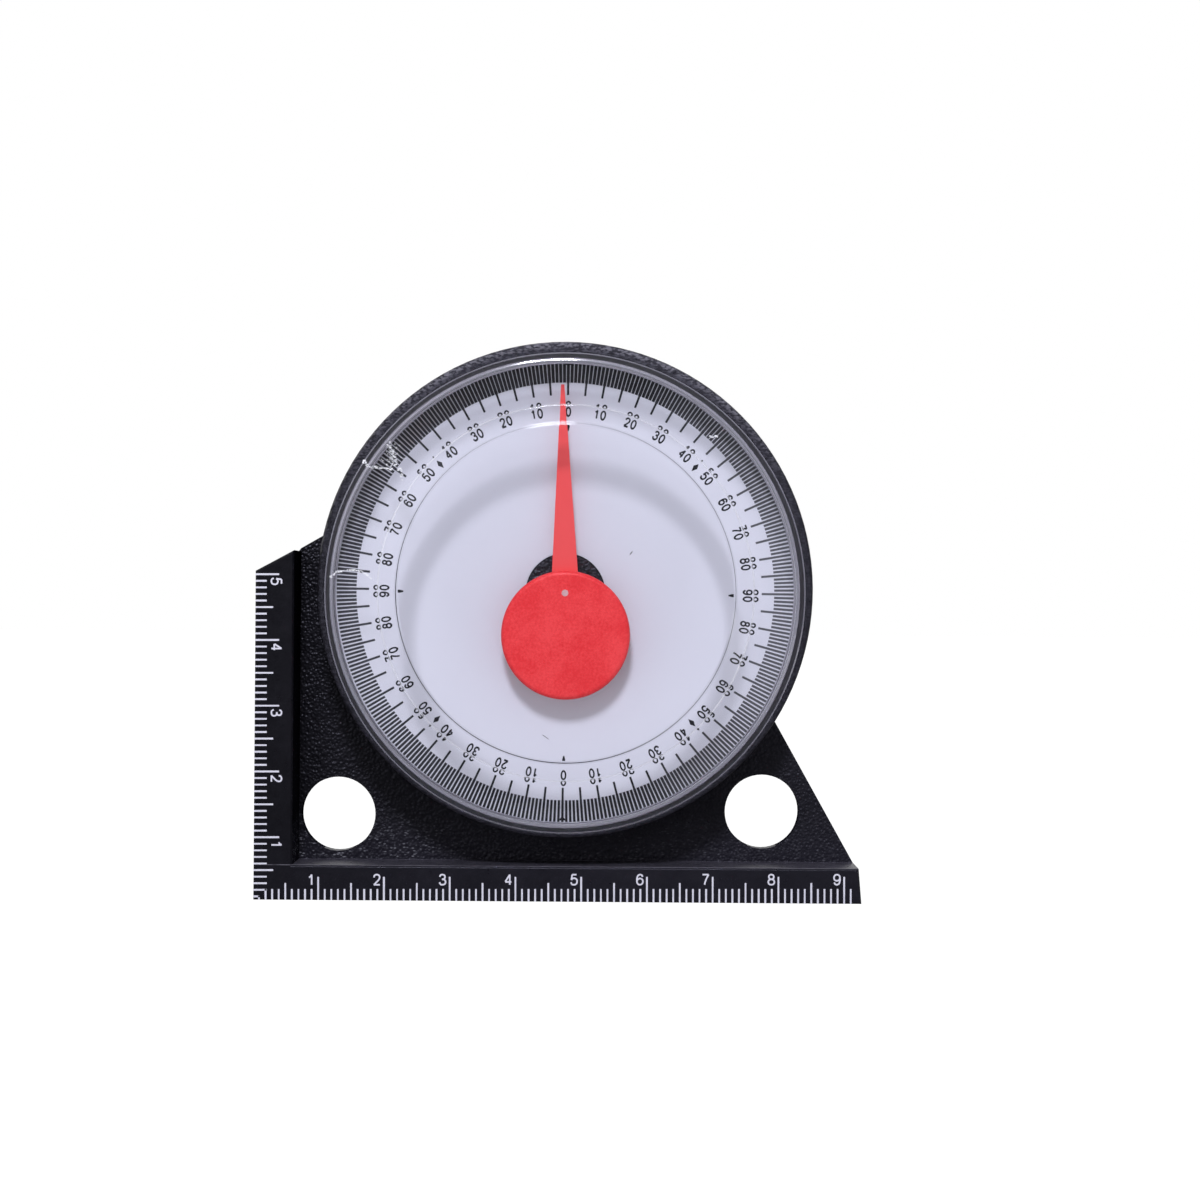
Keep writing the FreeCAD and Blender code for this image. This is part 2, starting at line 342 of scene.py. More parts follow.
DIGITS: dict[str, tuple[Stroke, ...]] = {
    "0": (Stroke(((0.5, 1), (0.86, 0.86), (1, 0.5), (0.86, 0.14), (0.5, 0), (0.14, 0.14), (0, 0.5),
                  (0.14, 0.86)), closed=True),),
    "1": (line((0.6, 0), (0.6, 1)), Stroke(((0.6, 1), (0.46, 0.84), (0.18, 0.72)))),
    "2": (Stroke(((0.04, 0.72), (0.14, 0.92), (0.5, 1), (0.86, 0.92), (0.96, 0.72), (0.8, 0.48),
                  (0.36, 0.2), (0.02, 0))), line((0, 0), (1, 0))),
    "3": (Stroke(((0.04, 0.78), (0.2, 0.96), (0.5, 1), (0.82, 0.92), (0.9, 0.74), (0.76, 0.58),
                  (0.4, 0.54))),
          Stroke(((0.4, 0.54), (0.84, 0.48), (1, 0.28), (0.86, 0.07), (0.48, 0), (0.16, 0.05), (0, 0.24)))),
    "4": (line((0.74, 0), (0.74, 1)), line((0.74, 1), (0, 0.3)), line((0, 0.28), (1, 0.28))),
    "5": (line((0.9, 1), (0.2, 1)), line((0.2, 1), (0.06, 0.48)),
          Stroke(((0.06, 0.48), (0.28, 0.62), (0.6, 0.64), (0.92, 0.52), (1, 0.32), (0.86, 0.08), (0.48, 0),
                  (0.14, 0.06), (0, 0.24)))),
    "6": (Stroke(((0.03, 0.3), (0.16, 0.52), (0.52, 0.62), (0.88, 0.53), (1, 0.31), (0.87, 0.09), (0.52, 0),
                  (0.16, 0.09)), closed=True),
          Stroke(((0.02, 0.32), (0.04, 0.62), (0.2, 0.9), (0.54, 1), (0.84, 0.93), (0.95, 0.78)))),
    "7": (line((0, 1), (1, 1)), Stroke(((1, 1), (0.66, 0.62), (0.42, 0.24), (0.34, 0)))),
    "8": (Stroke(((0.5, 1), (0.82, 0.93), (0.9, 0.76), (0.78, 0.6), (0.5, 0.54), (0.22, 0.6), (0.1, 0.76),
                  (0.18, 0.93)), closed=True),
          Stroke(((0.5, 0.54), (0.86, 0.46), (1, 0.27), (0.86, 0.07), (0.5, 0), (0.14, 0.07), (0, 0.27),
                  (0.14, 0.46)), closed=True)),
    "9": (Stroke(((0.97, 0.7), (0.84, 0.48), (0.48, 0.38), (0.12, 0.47), (0, 0.69), (0.13, 0.91), (0.48, 1),
                  (0.84, 0.91)), closed=True),
          Stroke(((0.98, 0.68), (0.96, 0.38), (0.8, 0.1), (0.46, 0), (0.16, 0.07), (0.05, 0.22)))),
}


@dataclass(frozen=True)
class Lettering:
    """Plain narrow digits drawn with a pen of one width, in millimetres."""

    height: float
    width: float
    pen: float
    gap: float
    curve_steps: int = 5
    layer_step: float = 0.002

    def number(self, text: str, place: Array, turn: float, front_y: float, back_y: float) -> MeshArrays:
        """A number laid on a face that looks to -Y.

        Args:
            text: its digits.
            place: (x, z) of its middle.
            turn: clockwise turn as the reader sees it, in radians.
            front_y: the face towards the reader.
            back_y: the face on the ground.

        Returns:
            Vertices and the face groups.
        """
        right = np.array([math.cos(turn), -math.sin(turn)])
        up = np.array([math.sin(turn), math.cos(turn)])
        parts = []
        for index, digit in enumerate(text):
            middle = (index - (len(text) - 1) / 2) * (self.width + self.gap)
            for layer, stroke in enumerate(DIGITS[digit]):
                points = np.array(stroke.points, float) - 0.5
                path = smoothed(points, stroke.closed, self.curve_steps) if stroke.curved else points
                across = middle + path[:, :1] * (self.width - self.pen)
                path = place + across * right + path[:, 1:] * (self.height - self.pen) * up
                front = front_y - layer * self.layer_step
                parts.append(ribbon(path, self.pen, front, back_y, stroke.closed))
        return merged(parts)


# Finishes


@dataclass(frozen=True)
class Patches:
    """A noise pattern: the size of its patches, how fine and rough it is, and the range it fills."""

    size_mm: float
    detail: float = 2.0
    roughness: float = 0.5
    fills: Span = (0.3, 0.7)


@dataclass
class Nodes:
    """Short way to put shader nodes into the tree of one material or world."""

    owner: Material | bpy.types.World

    @classmethod
    def emptied(cls, owner: Material | bpy.types.World) -> "Nodes":
        """Clears the owner's node tree for a new start."""
        owner.use_nodes = True
        owner.node_tree.nodes.clear()
        return cls(owner)

    @classmethod
    def fresh(cls, name: str) -> "Nodes":
        """Starts a material with an empty node tree."""
        return cls.emptied(bpy.data.materials.new(name))

    def add(self, kind: str, props: Optional[dict] = None, **inputs: object) -> bpy.types.Node:
        """Adds a node and sets or links its inputs.

        Args:
            kind: the node's type, without its ShaderNode start.
            props: the node's own settings.
            inputs: values or output sockets by input name, with _ for a space.

        Returns:
            The node.
        """
        node = self.owner.node_tree.nodes.new("ShaderNode" + kind)
        for key, value in (props or {}).items():
            setattr(node, key, value)
        for key, value in inputs.items():
            self.put(node.inputs[key.replace("_", " ")], value)
        return node

    def put(self, socket: Socket, value: object) -> None:
        """Links an output to a socket, or sets the socket's own value."""
        if isinstance(value, Socket):
            self.owner.node_tree.links.new(value, socket)
        elif isinstance(value, tuple) and len(value) == 3 and socket.type == "RGBA":
            socket.default_value = (*value, 1.0)
        else:
            socket.default_value = value

    def math(self, operation: str, first: object, second: object = 0.0) -> Socket:
        """One Math node's result."""
        node = self.add("Math", {"operation": operation})
        self.put(node.inputs[0], first)
        self.put(node.inputs[1], second)
        return node.outputs[0]

    def product(self, first: object, *others: object) -> Socket:
        """All the values multiplied."""
        for other in others:
            first = self.math("MULTIPLY", first, other)
        return first

    def distance(self, across: Socket, up: Socket) -> Socket:
        """Root of the sum of two squares."""
        square = self.math("ADD", self.product(across, across), self.product(up, up))
        return self.math("SQRT", square)

    def ramp(self, value: object, low: float, high: float, to_low: float = 0.0,
             to_high: float = 1.0) -> Socket:
        """A value mapped straight from one range to another, and held at its ends."""
        node = self.add("MapRange", {"clamp": True}, Value=value, From_Min=low, From_Max=high,
                        To_Min=to_low, To_Max=to_high)
        return node.outputs["Result"]

    def span(self, value: object, places: Span, origin: float = 0.0, at_start: float = 0.0,
             at_end: float = 1.0) -> Socket:
        """A length mapped between two places, given in millimetres past an origin."""
        start, end = (origin + places[0]) * MM, (origin + places[1]) * MM
        return self.ramp(value, start, end, at_start, at_end)

    def blend(self, factor: object, first: object, second: object) -> Socket:
        """A mix of two colours."""
        node = self.add("Mix", {"data_type": "RGBA"})
        self.put(node.inputs[0], factor)
        self.put(node.inputs[6], first)
        self.put(node.inputs[7], second)
        return node.outputs[2]

    def mix(self, factor: object, first: bpy.types.Node, second: bpy.types.Node) -> bpy.types.Node:
        """A mix of two shaders."""
        node = self.add("MixShader")
        self.put(node.inputs[0], factor)
        self.put(node.inputs[1], first.outputs[0])
        self.put(node.inputs[2], second.outputs[0])
        return node

    def place(self) -> Socket:
        """The point's place in the object's own coordinates, in metres."""
        return self.add("TexCoord").outputs["Object"]

    def split(self, vector: Socket) -> tuple[Socket, Socket, Socket]:
        """A vector's x, y and z."""
        node = self.add("SeparateXYZ", Vector=vector)
        return node.outputs["X"], node.outputs["Y"], node.outputs["Z"]

    def stretched(self, scale: tuple[float, float, float]) -> Socket:
        """The point's place, scaled along x, y and z."""
        return self.add("Mapping", Vector=self.place(), Scale=scale).outputs[0]

    def noise(self, pattern: Patches, place: Optional[Socket] = None) -> Socket:
        """The pattern's bare noise."""
        place = self.place() if place is None else place
        node = self.add("TexNoise", Vector=place, Scale=1 / (pattern.size_mm * MM),
                        Detail=pattern.detail, Roughness=pattern.roughness)
        return node.outputs["Fac"]

    def varied(self, pattern: Patches, low: float = 0.0, high: float = 1.0) -> Socket:
        """A value that wanders from low to high by the pattern."""
        return self.ramp(self.noise(pattern), *pattern.fills, low, high)

    def cells(self, size_mm: float) -> Socket:
        """Distance to the middle of the nearest cell, cells about size_mm across."""
        node = self.add("TexVoronoi", {"feature": "SMOOTH_F1"}, Vector=self.place(),
                        Scale=1 / (size_mm * MM), Smoothness=CELL_SMOOTHNESS)
        return node.outputs["Distance"]

    def bump(self, height: object, depth_mm: float, strength: float = 1.0,
             normal: Optional[Socket] = None) -> Socket:
        """Normal bent by a height of the given depth."""
        node = self.add("Bump", Height=height, Distance=depth_mm * MM, Strength=strength)
        if normal is not None:
            self.put(node.inputs["Normal"], normal)
        return node.outputs["Normal"]

    def finish(self, shader: bpy.types.Node) -> Material:
        """Ends a material's tree with its output and returns the material."""
        self.add("OutputMaterial", Surface=shader.outputs[0])
        return self.owner


@dataclass(frozen=True)
class MouldedPlastic:
    """Black moulded plastic: pebbled on the web, finely spark-textured on the ruler faces and rim, with
    painted light and shade in its colour.

    A Span says where a change starts and ends, in millimetres: depths count from the ruler's face
    backwards, heights from the base's top, and the rim's radii and heights from the dial's axis.
    """

    axis: tuple[float, float]
    ruler_y: float
    ledge_z: float
    name: str = "moulded_black"
    colour: Colour = (0.0068, 0.0064, 0.0098)
    worn_colour: Colour = (0.0125, 0.0118, 0.0170)
    cloud: Patches = Patches(9.0, 4.0, 0.6, (0.35, 0.75))
    # Painted shade: the black is darker towards the left end.
    dim_places: Span = (-44.0, -18.0)
    dim_share: float = 0.4
    tint: Colour = (0.86, 0.84, 1.0)
    gloss: float = 0.35
    side_gloss: float = 0.0
    upward_gloss: float = 0.2
    facing_reader: Span = (0.3, 0.7)
    facing_up: Span = (0.9, 0.99)
    edge_round_mm: float = 0.14
    pebble_mm: float = 0.46
    pebble_depth_mm: float = 0.12
    swell: Patches = Patches(1.6)
    swell_share: float = 0.5
    spark: Patches = Patches(0.20, 3.0, 0.6)
    spark_depth_mm: float = 0.03
    spark_strength: float = 0.8
    rough_patches: Patches = Patches(1.1, 3.0)
    roughness: Span = (0.27, 0.38)
    web_depths: Span = (0.3, 0.8)
    # Painted light: the web is lightened low down, near the base.
    low_colour: Colour = (0.0185, 0.0172, 0.0262)
    low_heights: Span = (0.0, 7.0)
    low_shares: Span = (0.12, 0.68)
    # Painted glints: bright specks on the pebbles low on the web, fewer to the right.
    tip_colour: Colour = (0.24, 0.24, 0.275)
    tip_patches: Patches = Patches(1.3, fills=(0.42, 0.58))
    tip_stretch: tuple[float, float, float] = (0.62, 1.0, 1.35)
    tip_reach: Span = (0.18, 0.38)
    tip_start: Span = (0.1, 0.3)
    tip_heights: Span = (0.4, 8.0)
    tip_places: Span = (-26.0, -14.0)
    right_tips: float = 0.22
    # Rim speckle: partly the rim's grain, partly painted sparkle; painted shade darkens it downwards.
    rim_colour: Colour = (0.052, 0.049, 0.064)
    rim_depths: Span = (-0.5, -0.15)
    rim_grain: float = 3.5
    rim_shade: float = 0.35
    rim_shade_heights: Span = (0.0, 30.0)
    streaks: Patches = Patches(0.36, 3.0, 0.6, (0.45, 0.58))
    streak_least: float = 0.05
    streak_stretch: tuple[float, float, float] = (0.45, 1.0, 1.0)
    # Painted highlight on the rim's upper outer edge.
    worn_rim_colour: Colour = (0.150, 0.145, 0.172)
    worn_radii: Span = (36.95, 37.45)
    worn_heights: Span = (18.0, 34.0)
    # Painted light on the base's upward top face, and a painted highlight along its front edge.
    ledge_colour: Colour = (0.064, 0.060, 0.078)
    ledge_edge_colour: Colour = (0.125, 0.120, 0.142)
    ledge_reach: Span = (0.035, 0.07)
    rubbing: Patches = Patches(1.5, 4.0, 0.7, (0.3, 0.6))
    rubbed_least: float = 0.25
    ledge_edge_depth: float = 0.2
    ledge_edge_reach: Span = (0.35, 0.6)

    def near(self, n: Nodes, value: Socket, centre: float, reach: Span) -> Socket:
        """One close to a centre value, falling to zero over the reach, all in millimetres."""
        away = n.math("ABSOLUTE", n.math("SUBTRACT", value, centre * MM))
        return n.span(away, reach, 0.0, 1.0, 0.0)

    def surface(self, n: Nodes, y: Socket, pebbled: Socket) -> Socket:
        """The bent normal: rounded edges, pebbles on the web and a fine spark grain all over.

        Args:
            n: the material's nodes.
            y: depth of the point.
            pebbled: one on the web, zero on the ruler faces.

        Returns:
            The normal.
        """
        edge = n.add("Bevel", {"samples": 4}, Radius=self.edge_round_mm * MM).outputs[0]
        swell = n.product(n.noise(self.swell), self.swell_share)
        pebbles = n.math("ADD", n.cells(self.pebble_mm), swell)
        coarse = n.bump(n.product(pebbles, pebbled), self.pebble_depth_mm, 1.0, edge)
        grainy = n.span(y, self.rim_depths, self.ruler_y, self.rim_grain, 1.0)
        spark = n.product(n.noise(self.spark), grainy)
        return n.bump(spark, self.spark_depth_mm, self.spark_strength, coarse)

    def with_web(self, n: Nodes, place: tuple, pebbled: Socket) -> Socket:
        """Cloudy black with painted shade at the left, painted light low on the web and painted glints on
        the pebbles there.

        Args:
            n: the material's nodes.
            place: the point's x, y and z.
            pebbled: one on the web, zero on the ruler faces.

        Returns:
            The colour.
        """
        x, _, z = place
        colour = n.blend(n.varied(self.cloud), self.colour, self.worn_colour)
        # Painted shade towards the left end.
        painted_shade_left = n.span(x, self.dim_places, 0.0, self.dim_share, 1.0)
        colour = n.blend(painted_shade_left, BLACK, colour)
        # Painted light low on the web.
        painted_low_light = n.span(z, self.low_heights, self.ledge_z, 1.0, 0.0)
        painted_low_light = n.product(painted_low_light, n.ramp(pebbled, 0.0, 1.0, *self.low_shares))
        colour = n.blend(painted_low_light, colour, self.low_colour)
        # Painted glints on the pebbles low on the web.
        grains = n.add("TexVoronoi", Vector=n.stretched(self.tip_stretch),
                       Scale=1 / (self.pebble_mm * MM))
        painted_glint_spots = n.ramp(grains.outputs["Distance"], *self.tip_reach, 1.0, 0.0)
        painted_glint_spots = n.product(painted_glint_spots, n.varied(self.tip_patches))
        low = n.span(z, self.tip_heights, self.ledge_z, 1.0, 0.0)
        low = n.product(low, n.span(z, self.tip_start, self.ledge_z))
        low = n.product(low, n.span(x, self.tip_places, 0.0, 1.0, self.right_tips))
        return n.blend(n.product(painted_glint_spots, low, pebbled), colour, self.tip_colour)

    def with_rim(self, n: Nodes, place: tuple, colour: Socket) -> Socket:
        """Grey speckled rim of the cup, partly its grain and partly painted sparkle, with painted shade that
        darkens it downwards and a painted highlight on its upper outer edge.

        Args:
            n: the material's nodes.
            place: the point's x, y and z.
            colour: the colour of the rest.

        Returns:
            The colour.
        """
        x, y, z = place
        on_rim = n.span(y, self.rim_depths, self.ruler_y, 1.0, 0.0)
        streaks = n.noise(self.streaks, n.stretched(self.streak_stretch))
        speckled = n.ramp(streaks, *self.streaks.fills, self.streak_least, 1.0)
        # Painted shade: the rim speckle darkens downwards.
        shade = n.span(z, self.rim_shade_heights, self.axis[1], self.rim_shade, 1.0)
        colour = n.blend(n.product(on_rim, n.product(speckled, shade)), colour, self.rim_colour)
        # Painted highlight on the rim's upper outer edge.
        across = n.math("SUBTRACT", x, self.axis[0] * MM)
        up = n.math("SUBTRACT", z, self.axis[1] * MM)
        painted_rim_highlight = n.product(n.span(n.distance(across, up), self.worn_radii), n.span(up, self.worn_heights))
        return n.blend(n.product(on_rim, n.product(painted_rim_highlight, speckled)), colour, self.worn_rim_colour)

    def with_ledge(self, n: Nodes, place: tuple, colour: Socket) -> Socket:
        """Patchy painted light on the base's top face, with a painted highlight along its front edge.

        Args:
            n: the material's nodes.
            place: the point's x, y and z.
            colour: the colour of the rest.

        Returns:
            The colour.
        """
        _, y, z = place
        on_ledge = self.near(n, z, self.ledge_z, self.ledge_reach)
        at_edge = self.near(n, y, self.ruler_y + self.ledge_edge_depth, self.ledge_edge_reach)
        # Patchy painted light on the ledge, and a painted highlight at its front edge.
        painted_ledge_light = n.product(on_ledge, n.varied(self.rubbing, self.rubbed_least))
        colour = n.blend(painted_ledge_light, colour, self.ledge_colour)
        return n.blend(n.product(painted_ledge_light, at_edge), colour, self.ledge_edge_colour)

    def glossiness(self, n: Nodes) -> Socket:
        """Full gloss on faces towards the reader, a little on faces upwards, none on the sides."""
        _, facing_y, facing_z = n.split(n.add("NewGeometry").outputs["True Normal"])
        to_reader = n.ramp(n.math("ABSOLUTE", facing_y), *self.facing_reader)
        upward = n.product(n.ramp(facing_z, *self.facing_up), self.upward_gloss)
        return n.ramp(n.math("MAXIMUM", to_reader, upward), 0.0, 1.0, self.side_gloss, self.gloss)

    def material(self) -> Material:
        """Builds the node tree."""
        n = Nodes.fresh(self.name)
        place = n.split(n.place())
        pebbled = n.span(place[1], self.web_depths, self.ruler_y)
        colour = self.with_web(n, place, pebbled)
        colour = self.with_rim(n, place, colour)
        colour = self.with_ledge(n, place, colour)
        rough = n.varied(self.rough_patches, *self.roughness)
        shader = n.add("BsdfPrincipled", Base_Color=colour, Roughness=rough,
                       Specular_IOR_Level=self.glossiness(n), IOR=1.5, Specular_Tint=self.tint,
                       Normal=self.surface(n, place[1], pebbled))
        return n.finish(shader)


@dataclass(frozen=True)
class Enamel:
    """Smooth coloured plastic or paint with a faint orange-peel and a soft mottle."""

    name: str
    colour: Colour
    second: Colour
    mottle_mm: float = 6.0
    peel_mm: float = 0.6
    peel_depth_mm: float = 0.004
    peel_strength: float = 0.6
    rough_low: float = 0.32
    rough_high: float = 0.42
    specular: float = 0.4
    grain_mm: float = 0.35
    grain_share: float = 0.0

    def material(self) -> Material:
        """Builds the node tree."""
        n = Nodes.fresh(self.name)
        mottle = n.varied(Patches(self.mottle_mm, 3.0, 0.55, (0.35, 0.7)))
        grain = n.varied(Patches(self.grain_mm), -self.grain_share, self.grain_share)
        colour = n.blend(n.math("ADD", mottle, grain), self.colour, self.second)
        normal = n.bump(n.noise(Patches(self.peel_mm)), self.peel_depth_mm, self.peel_strength)
        rough = n.varied(Patches(self.mottle_mm / 2), self.rough_low, self.rough_high)
        shader = n.add("BsdfPrincipled", Base_Color=colour, Roughness=rough,
                       Specular_IOR_Level=self.specular, Normal=normal)
        return n.finish(shader)


@dataclass(frozen=True)
class DialWhite:
    """White dial enamel with painted light: lighter towards its rim, most towards its bottom."""

    centre: tuple[float, float]
    name: str = "dial_white"
    colour: Colour = (0.680, 0.680, 0.768)
    outer_colour: Colour = (0.745, 0.745, 0.838)
    clean_rise: float = 5.0
    clean_radii: Span = (18.0, 28.0)
    mottle: Patches = Patches(12.0, 3.0)
    mottle_share: float = 0.12
    polish: Patches = Patches(4.0)
    roughness: Span = (0.42, 0.5)
    peel: Patches = Patches(0.6)
    peel_depth_mm: float = 0.004
    peel_strength: float = 0.6
    specular: float = 0.3

    def material(self) -> Material:
        """Builds the node tree."""
        n = Nodes.fresh(self.name)
        x, _, z = n.split(n.place())
        # Painted light: lighter with distance from a point above the centre, so the outer ring and the
        # bottom come out brighter.
        across = n.math("SUBTRACT", x, self.centre[0] * MM)
        up = n.math("SUBTRACT", z, (self.centre[1] + self.clean_rise) * MM)
        outer = n.span(n.distance(across, up), self.clean_radii)
        mottle = n.varied(self.mottle, -self.mottle_share, self.mottle_share)
        colour = n.blend(n.math("ADD", outer, mottle), self.colour, self.outer_colour)
        normal = n.bump(n.noise(self.peel), self.peel_depth_mm, self.peel_strength)
        rough = n.varied(self.polish, *self.roughness)
        shader = n.add("BsdfPrincipled", Base_Color=colour, Roughness=rough,
                       Specular_IOR_Level=self.specular, Normal=normal)
        return n.finish(shader)


@dataclass(frozen=True)
class ScaleInk:
    """Black ink of the tick marks, lighter towards the left and more so towards the right of the dial."""

    axis_x: float
    name: str = "tick_ink"
    colour: Colour = (0.018, 0.018, 0.024)
    left_colour: Colour = (0.062, 0.062, 0.074)
    right_colour: Colour = (0.130, 0.130, 0.148)
    fade: Span = (12.0, 34.0)
    polish: Patches = Patches(1.5)
    roughness: Span = (0.4, 0.5)
    specular: float = 0.2

    def material(self) -> Material:
        """Builds the node tree."""
        n = Nodes.fresh(self.name)
        x, _, _ = n.split(n.place())
        across = n.math("SUBTRACT", x, self.axis_x * MM)
        leftward = n.span(across, (-self.fade[1], -self.fade[0]), 0.0, 1.0, 0.0)
        rightward = n.span(across, self.fade)
        colour = n.blend(rightward, n.blend(leftward, self.colour, self.left_colour), self.right_colour)
        rough = n.varied(self.polish, *self.roughness)
        shader = n.add("BsdfPrincipled", Base_Color=colour, Roughness=rough,
                       Specular_IOR_Level=self.specular)
        return n.finish(shader)


@dataclass(frozen=True)
class BareMetal:
    """Turned, drawn or sheared metal with fine streaks along one axis."""

    name: str
    colour: Colour
    stretch: tuple[float, float, float] = (1.0, 0.08, 1.0)
    streaks: Patches = Patches(0.25, 3.0)
    streak_depth_mm: float = 0.004
    streak_strength: float = 0.5
    rough_low: float = 0.22
    rough_high: float = 0.4
    tarnish: Patches = Patches(3.0, 3.0)
    dark_share: float = 0.8

    def material(self) -> Material:
        """Builds the node tree."""
        n = Nodes.fresh(self.name)
        streaks = n.noise(self.streaks, n.stretched(self.stretch))
        rough = n.ramp(streaks, *self.streaks.fills, self.rough_low, self.rough_high)
        darker = tuple(self.dark_share * part for part in self.colour)
        colour = n.blend(n.noise(self.tarnish), self.colour, darker)
        shader = n.add("BsdfPrincipled", Base_Color=colour, Metallic=1.0, Roughness=rough,
                       Normal=n.bump(streaks, self.streak_depth_mm, self.streak_strength))
        return n.finish(shader)


@dataclass(frozen=True)
class Ferrite:
    """Dull grey sintered magnet, cloudy and finely pitted."""

    name: str = "ferrite_grey"
    colour: Colour = (0.035, 0.035, 0.038)
    second: Colour = (0.075, 0.074, 0.076)
    cloud: Patches = Patches(0.7, 4.0, 0.7, (0.4, 0.65))
    roughness: float = 0.6
    pit_mm: float = 0.5
    pit_reach: Span = (0.0, 0.25)
    pit_depth_mm: float = 0.03
    pit_strength: float = 0.6

    def material(self) -> Material:
        """Builds the node tree."""
        n = Nodes.fresh(self.name)
        colour = n.blend(n.varied(self.cloud), self.colour, self.second)
        pits = n.ramp(n.cells(self.pit_mm), *self.pit_reach)
        normal = n.bump(pits, self.pit_depth_mm, self.pit_strength)
        shader = n.add("BsdfPrincipled", Base_Color=colour, Roughness=self.roughness, Normal=normal)
        return n.finish(shader)


@dataclass(frozen=True)
class ClearStyrene:
    """Clear cover plastic that bends light for the eye and lets the lamp's light through.

    Frost is its least roughness, milk the share of white haze and glint the share of bare gloss.
    """

    name: str
    shadow: Colour
    frost: float = 0.0
    scuffs: Patches = Patches(0.5, 5.0, 0.8, (0.55, 0.75))
    scuff_extra: float = 0.04
    index: float = 1.49
    tint: Colour = (0.985, 0.987, 1.0)
    glint: float = 0.0
    glint_roughness: float = 0.05
    milk: float = 0.0
    milk_colour: Colour = (0.70, 0.685, 0.81)
    sky_pass: Colour = (0.97, 0.97, 0.975)

    def material(self) -> Material:
        """Builds the node tree: glass to the eye, a tinted pane to shadow and diffuse rays."""
        n = Nodes.fresh(self.name)
        path = n.add("LightPath")
        through = n.math("MAXIMUM", path.outputs["Is Shadow Ray"], path.outputs["Is Diffuse Ray"])
        rough = n.varied(self.scuffs, self.frost, self.frost + self.scuff_extra)
        glass = n.add("BsdfPrincipled", Base_Color=self.tint, Roughness=rough, IOR=self.index,
                      Transmission_Weight=1.0)
        glossy = n.add("BsdfAnisotropic", Roughness=self.glint_roughness)
        seen = n.mix(self.glint, glass, glossy)
        milky = n.mix(self.milk, seen, n.add("BsdfDiffuse", Color=self.milk_colour))
        lit = n.blend(path.outputs["Is Diffuse Ray"], self.shadow, self.sky_pass)
        return n.finish(n.mix(through, milky, n.add("BsdfTransparent", Color=lit)))


# Sub-assemblies


@dataclass
class Layout:
    """Places that the pieces share, read from the frame, in millimetres."""

    rim_proud: float = 1.0
    rim_y: float = field(init=False)
    band_y: float = field(init=False)
    dial_y: float = field(init=False)
    ledge_y: float = field(init=False)
    lens_front_y: float = field(init=False)
    axis: Array = field(init=False)
    left_x: float = field(init=False)

    def __post_init__(self) -> None:
        """Reads the boxes of the housing, dial and cover."""
        house_low, _ = (np.array(corner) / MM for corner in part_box("housing"))
        dial_low, dial_high = (np.array(corner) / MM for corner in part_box("dial_plate"))
        lens_low, lens_high = (np.array(corner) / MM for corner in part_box("lens_cover"))
        self.rim_y = house_low[1]
        self.band_y = self.rim_y + self.rim_proud
        self.dial_y = dial_low[1]
        self.ledge_y = lens_high[1]
        self.lens_front_y = lens_low[1]
        self.axis = ((dial_low + dial_high) / 2)[[0, 2]]
        self.left_x = house_low[0]


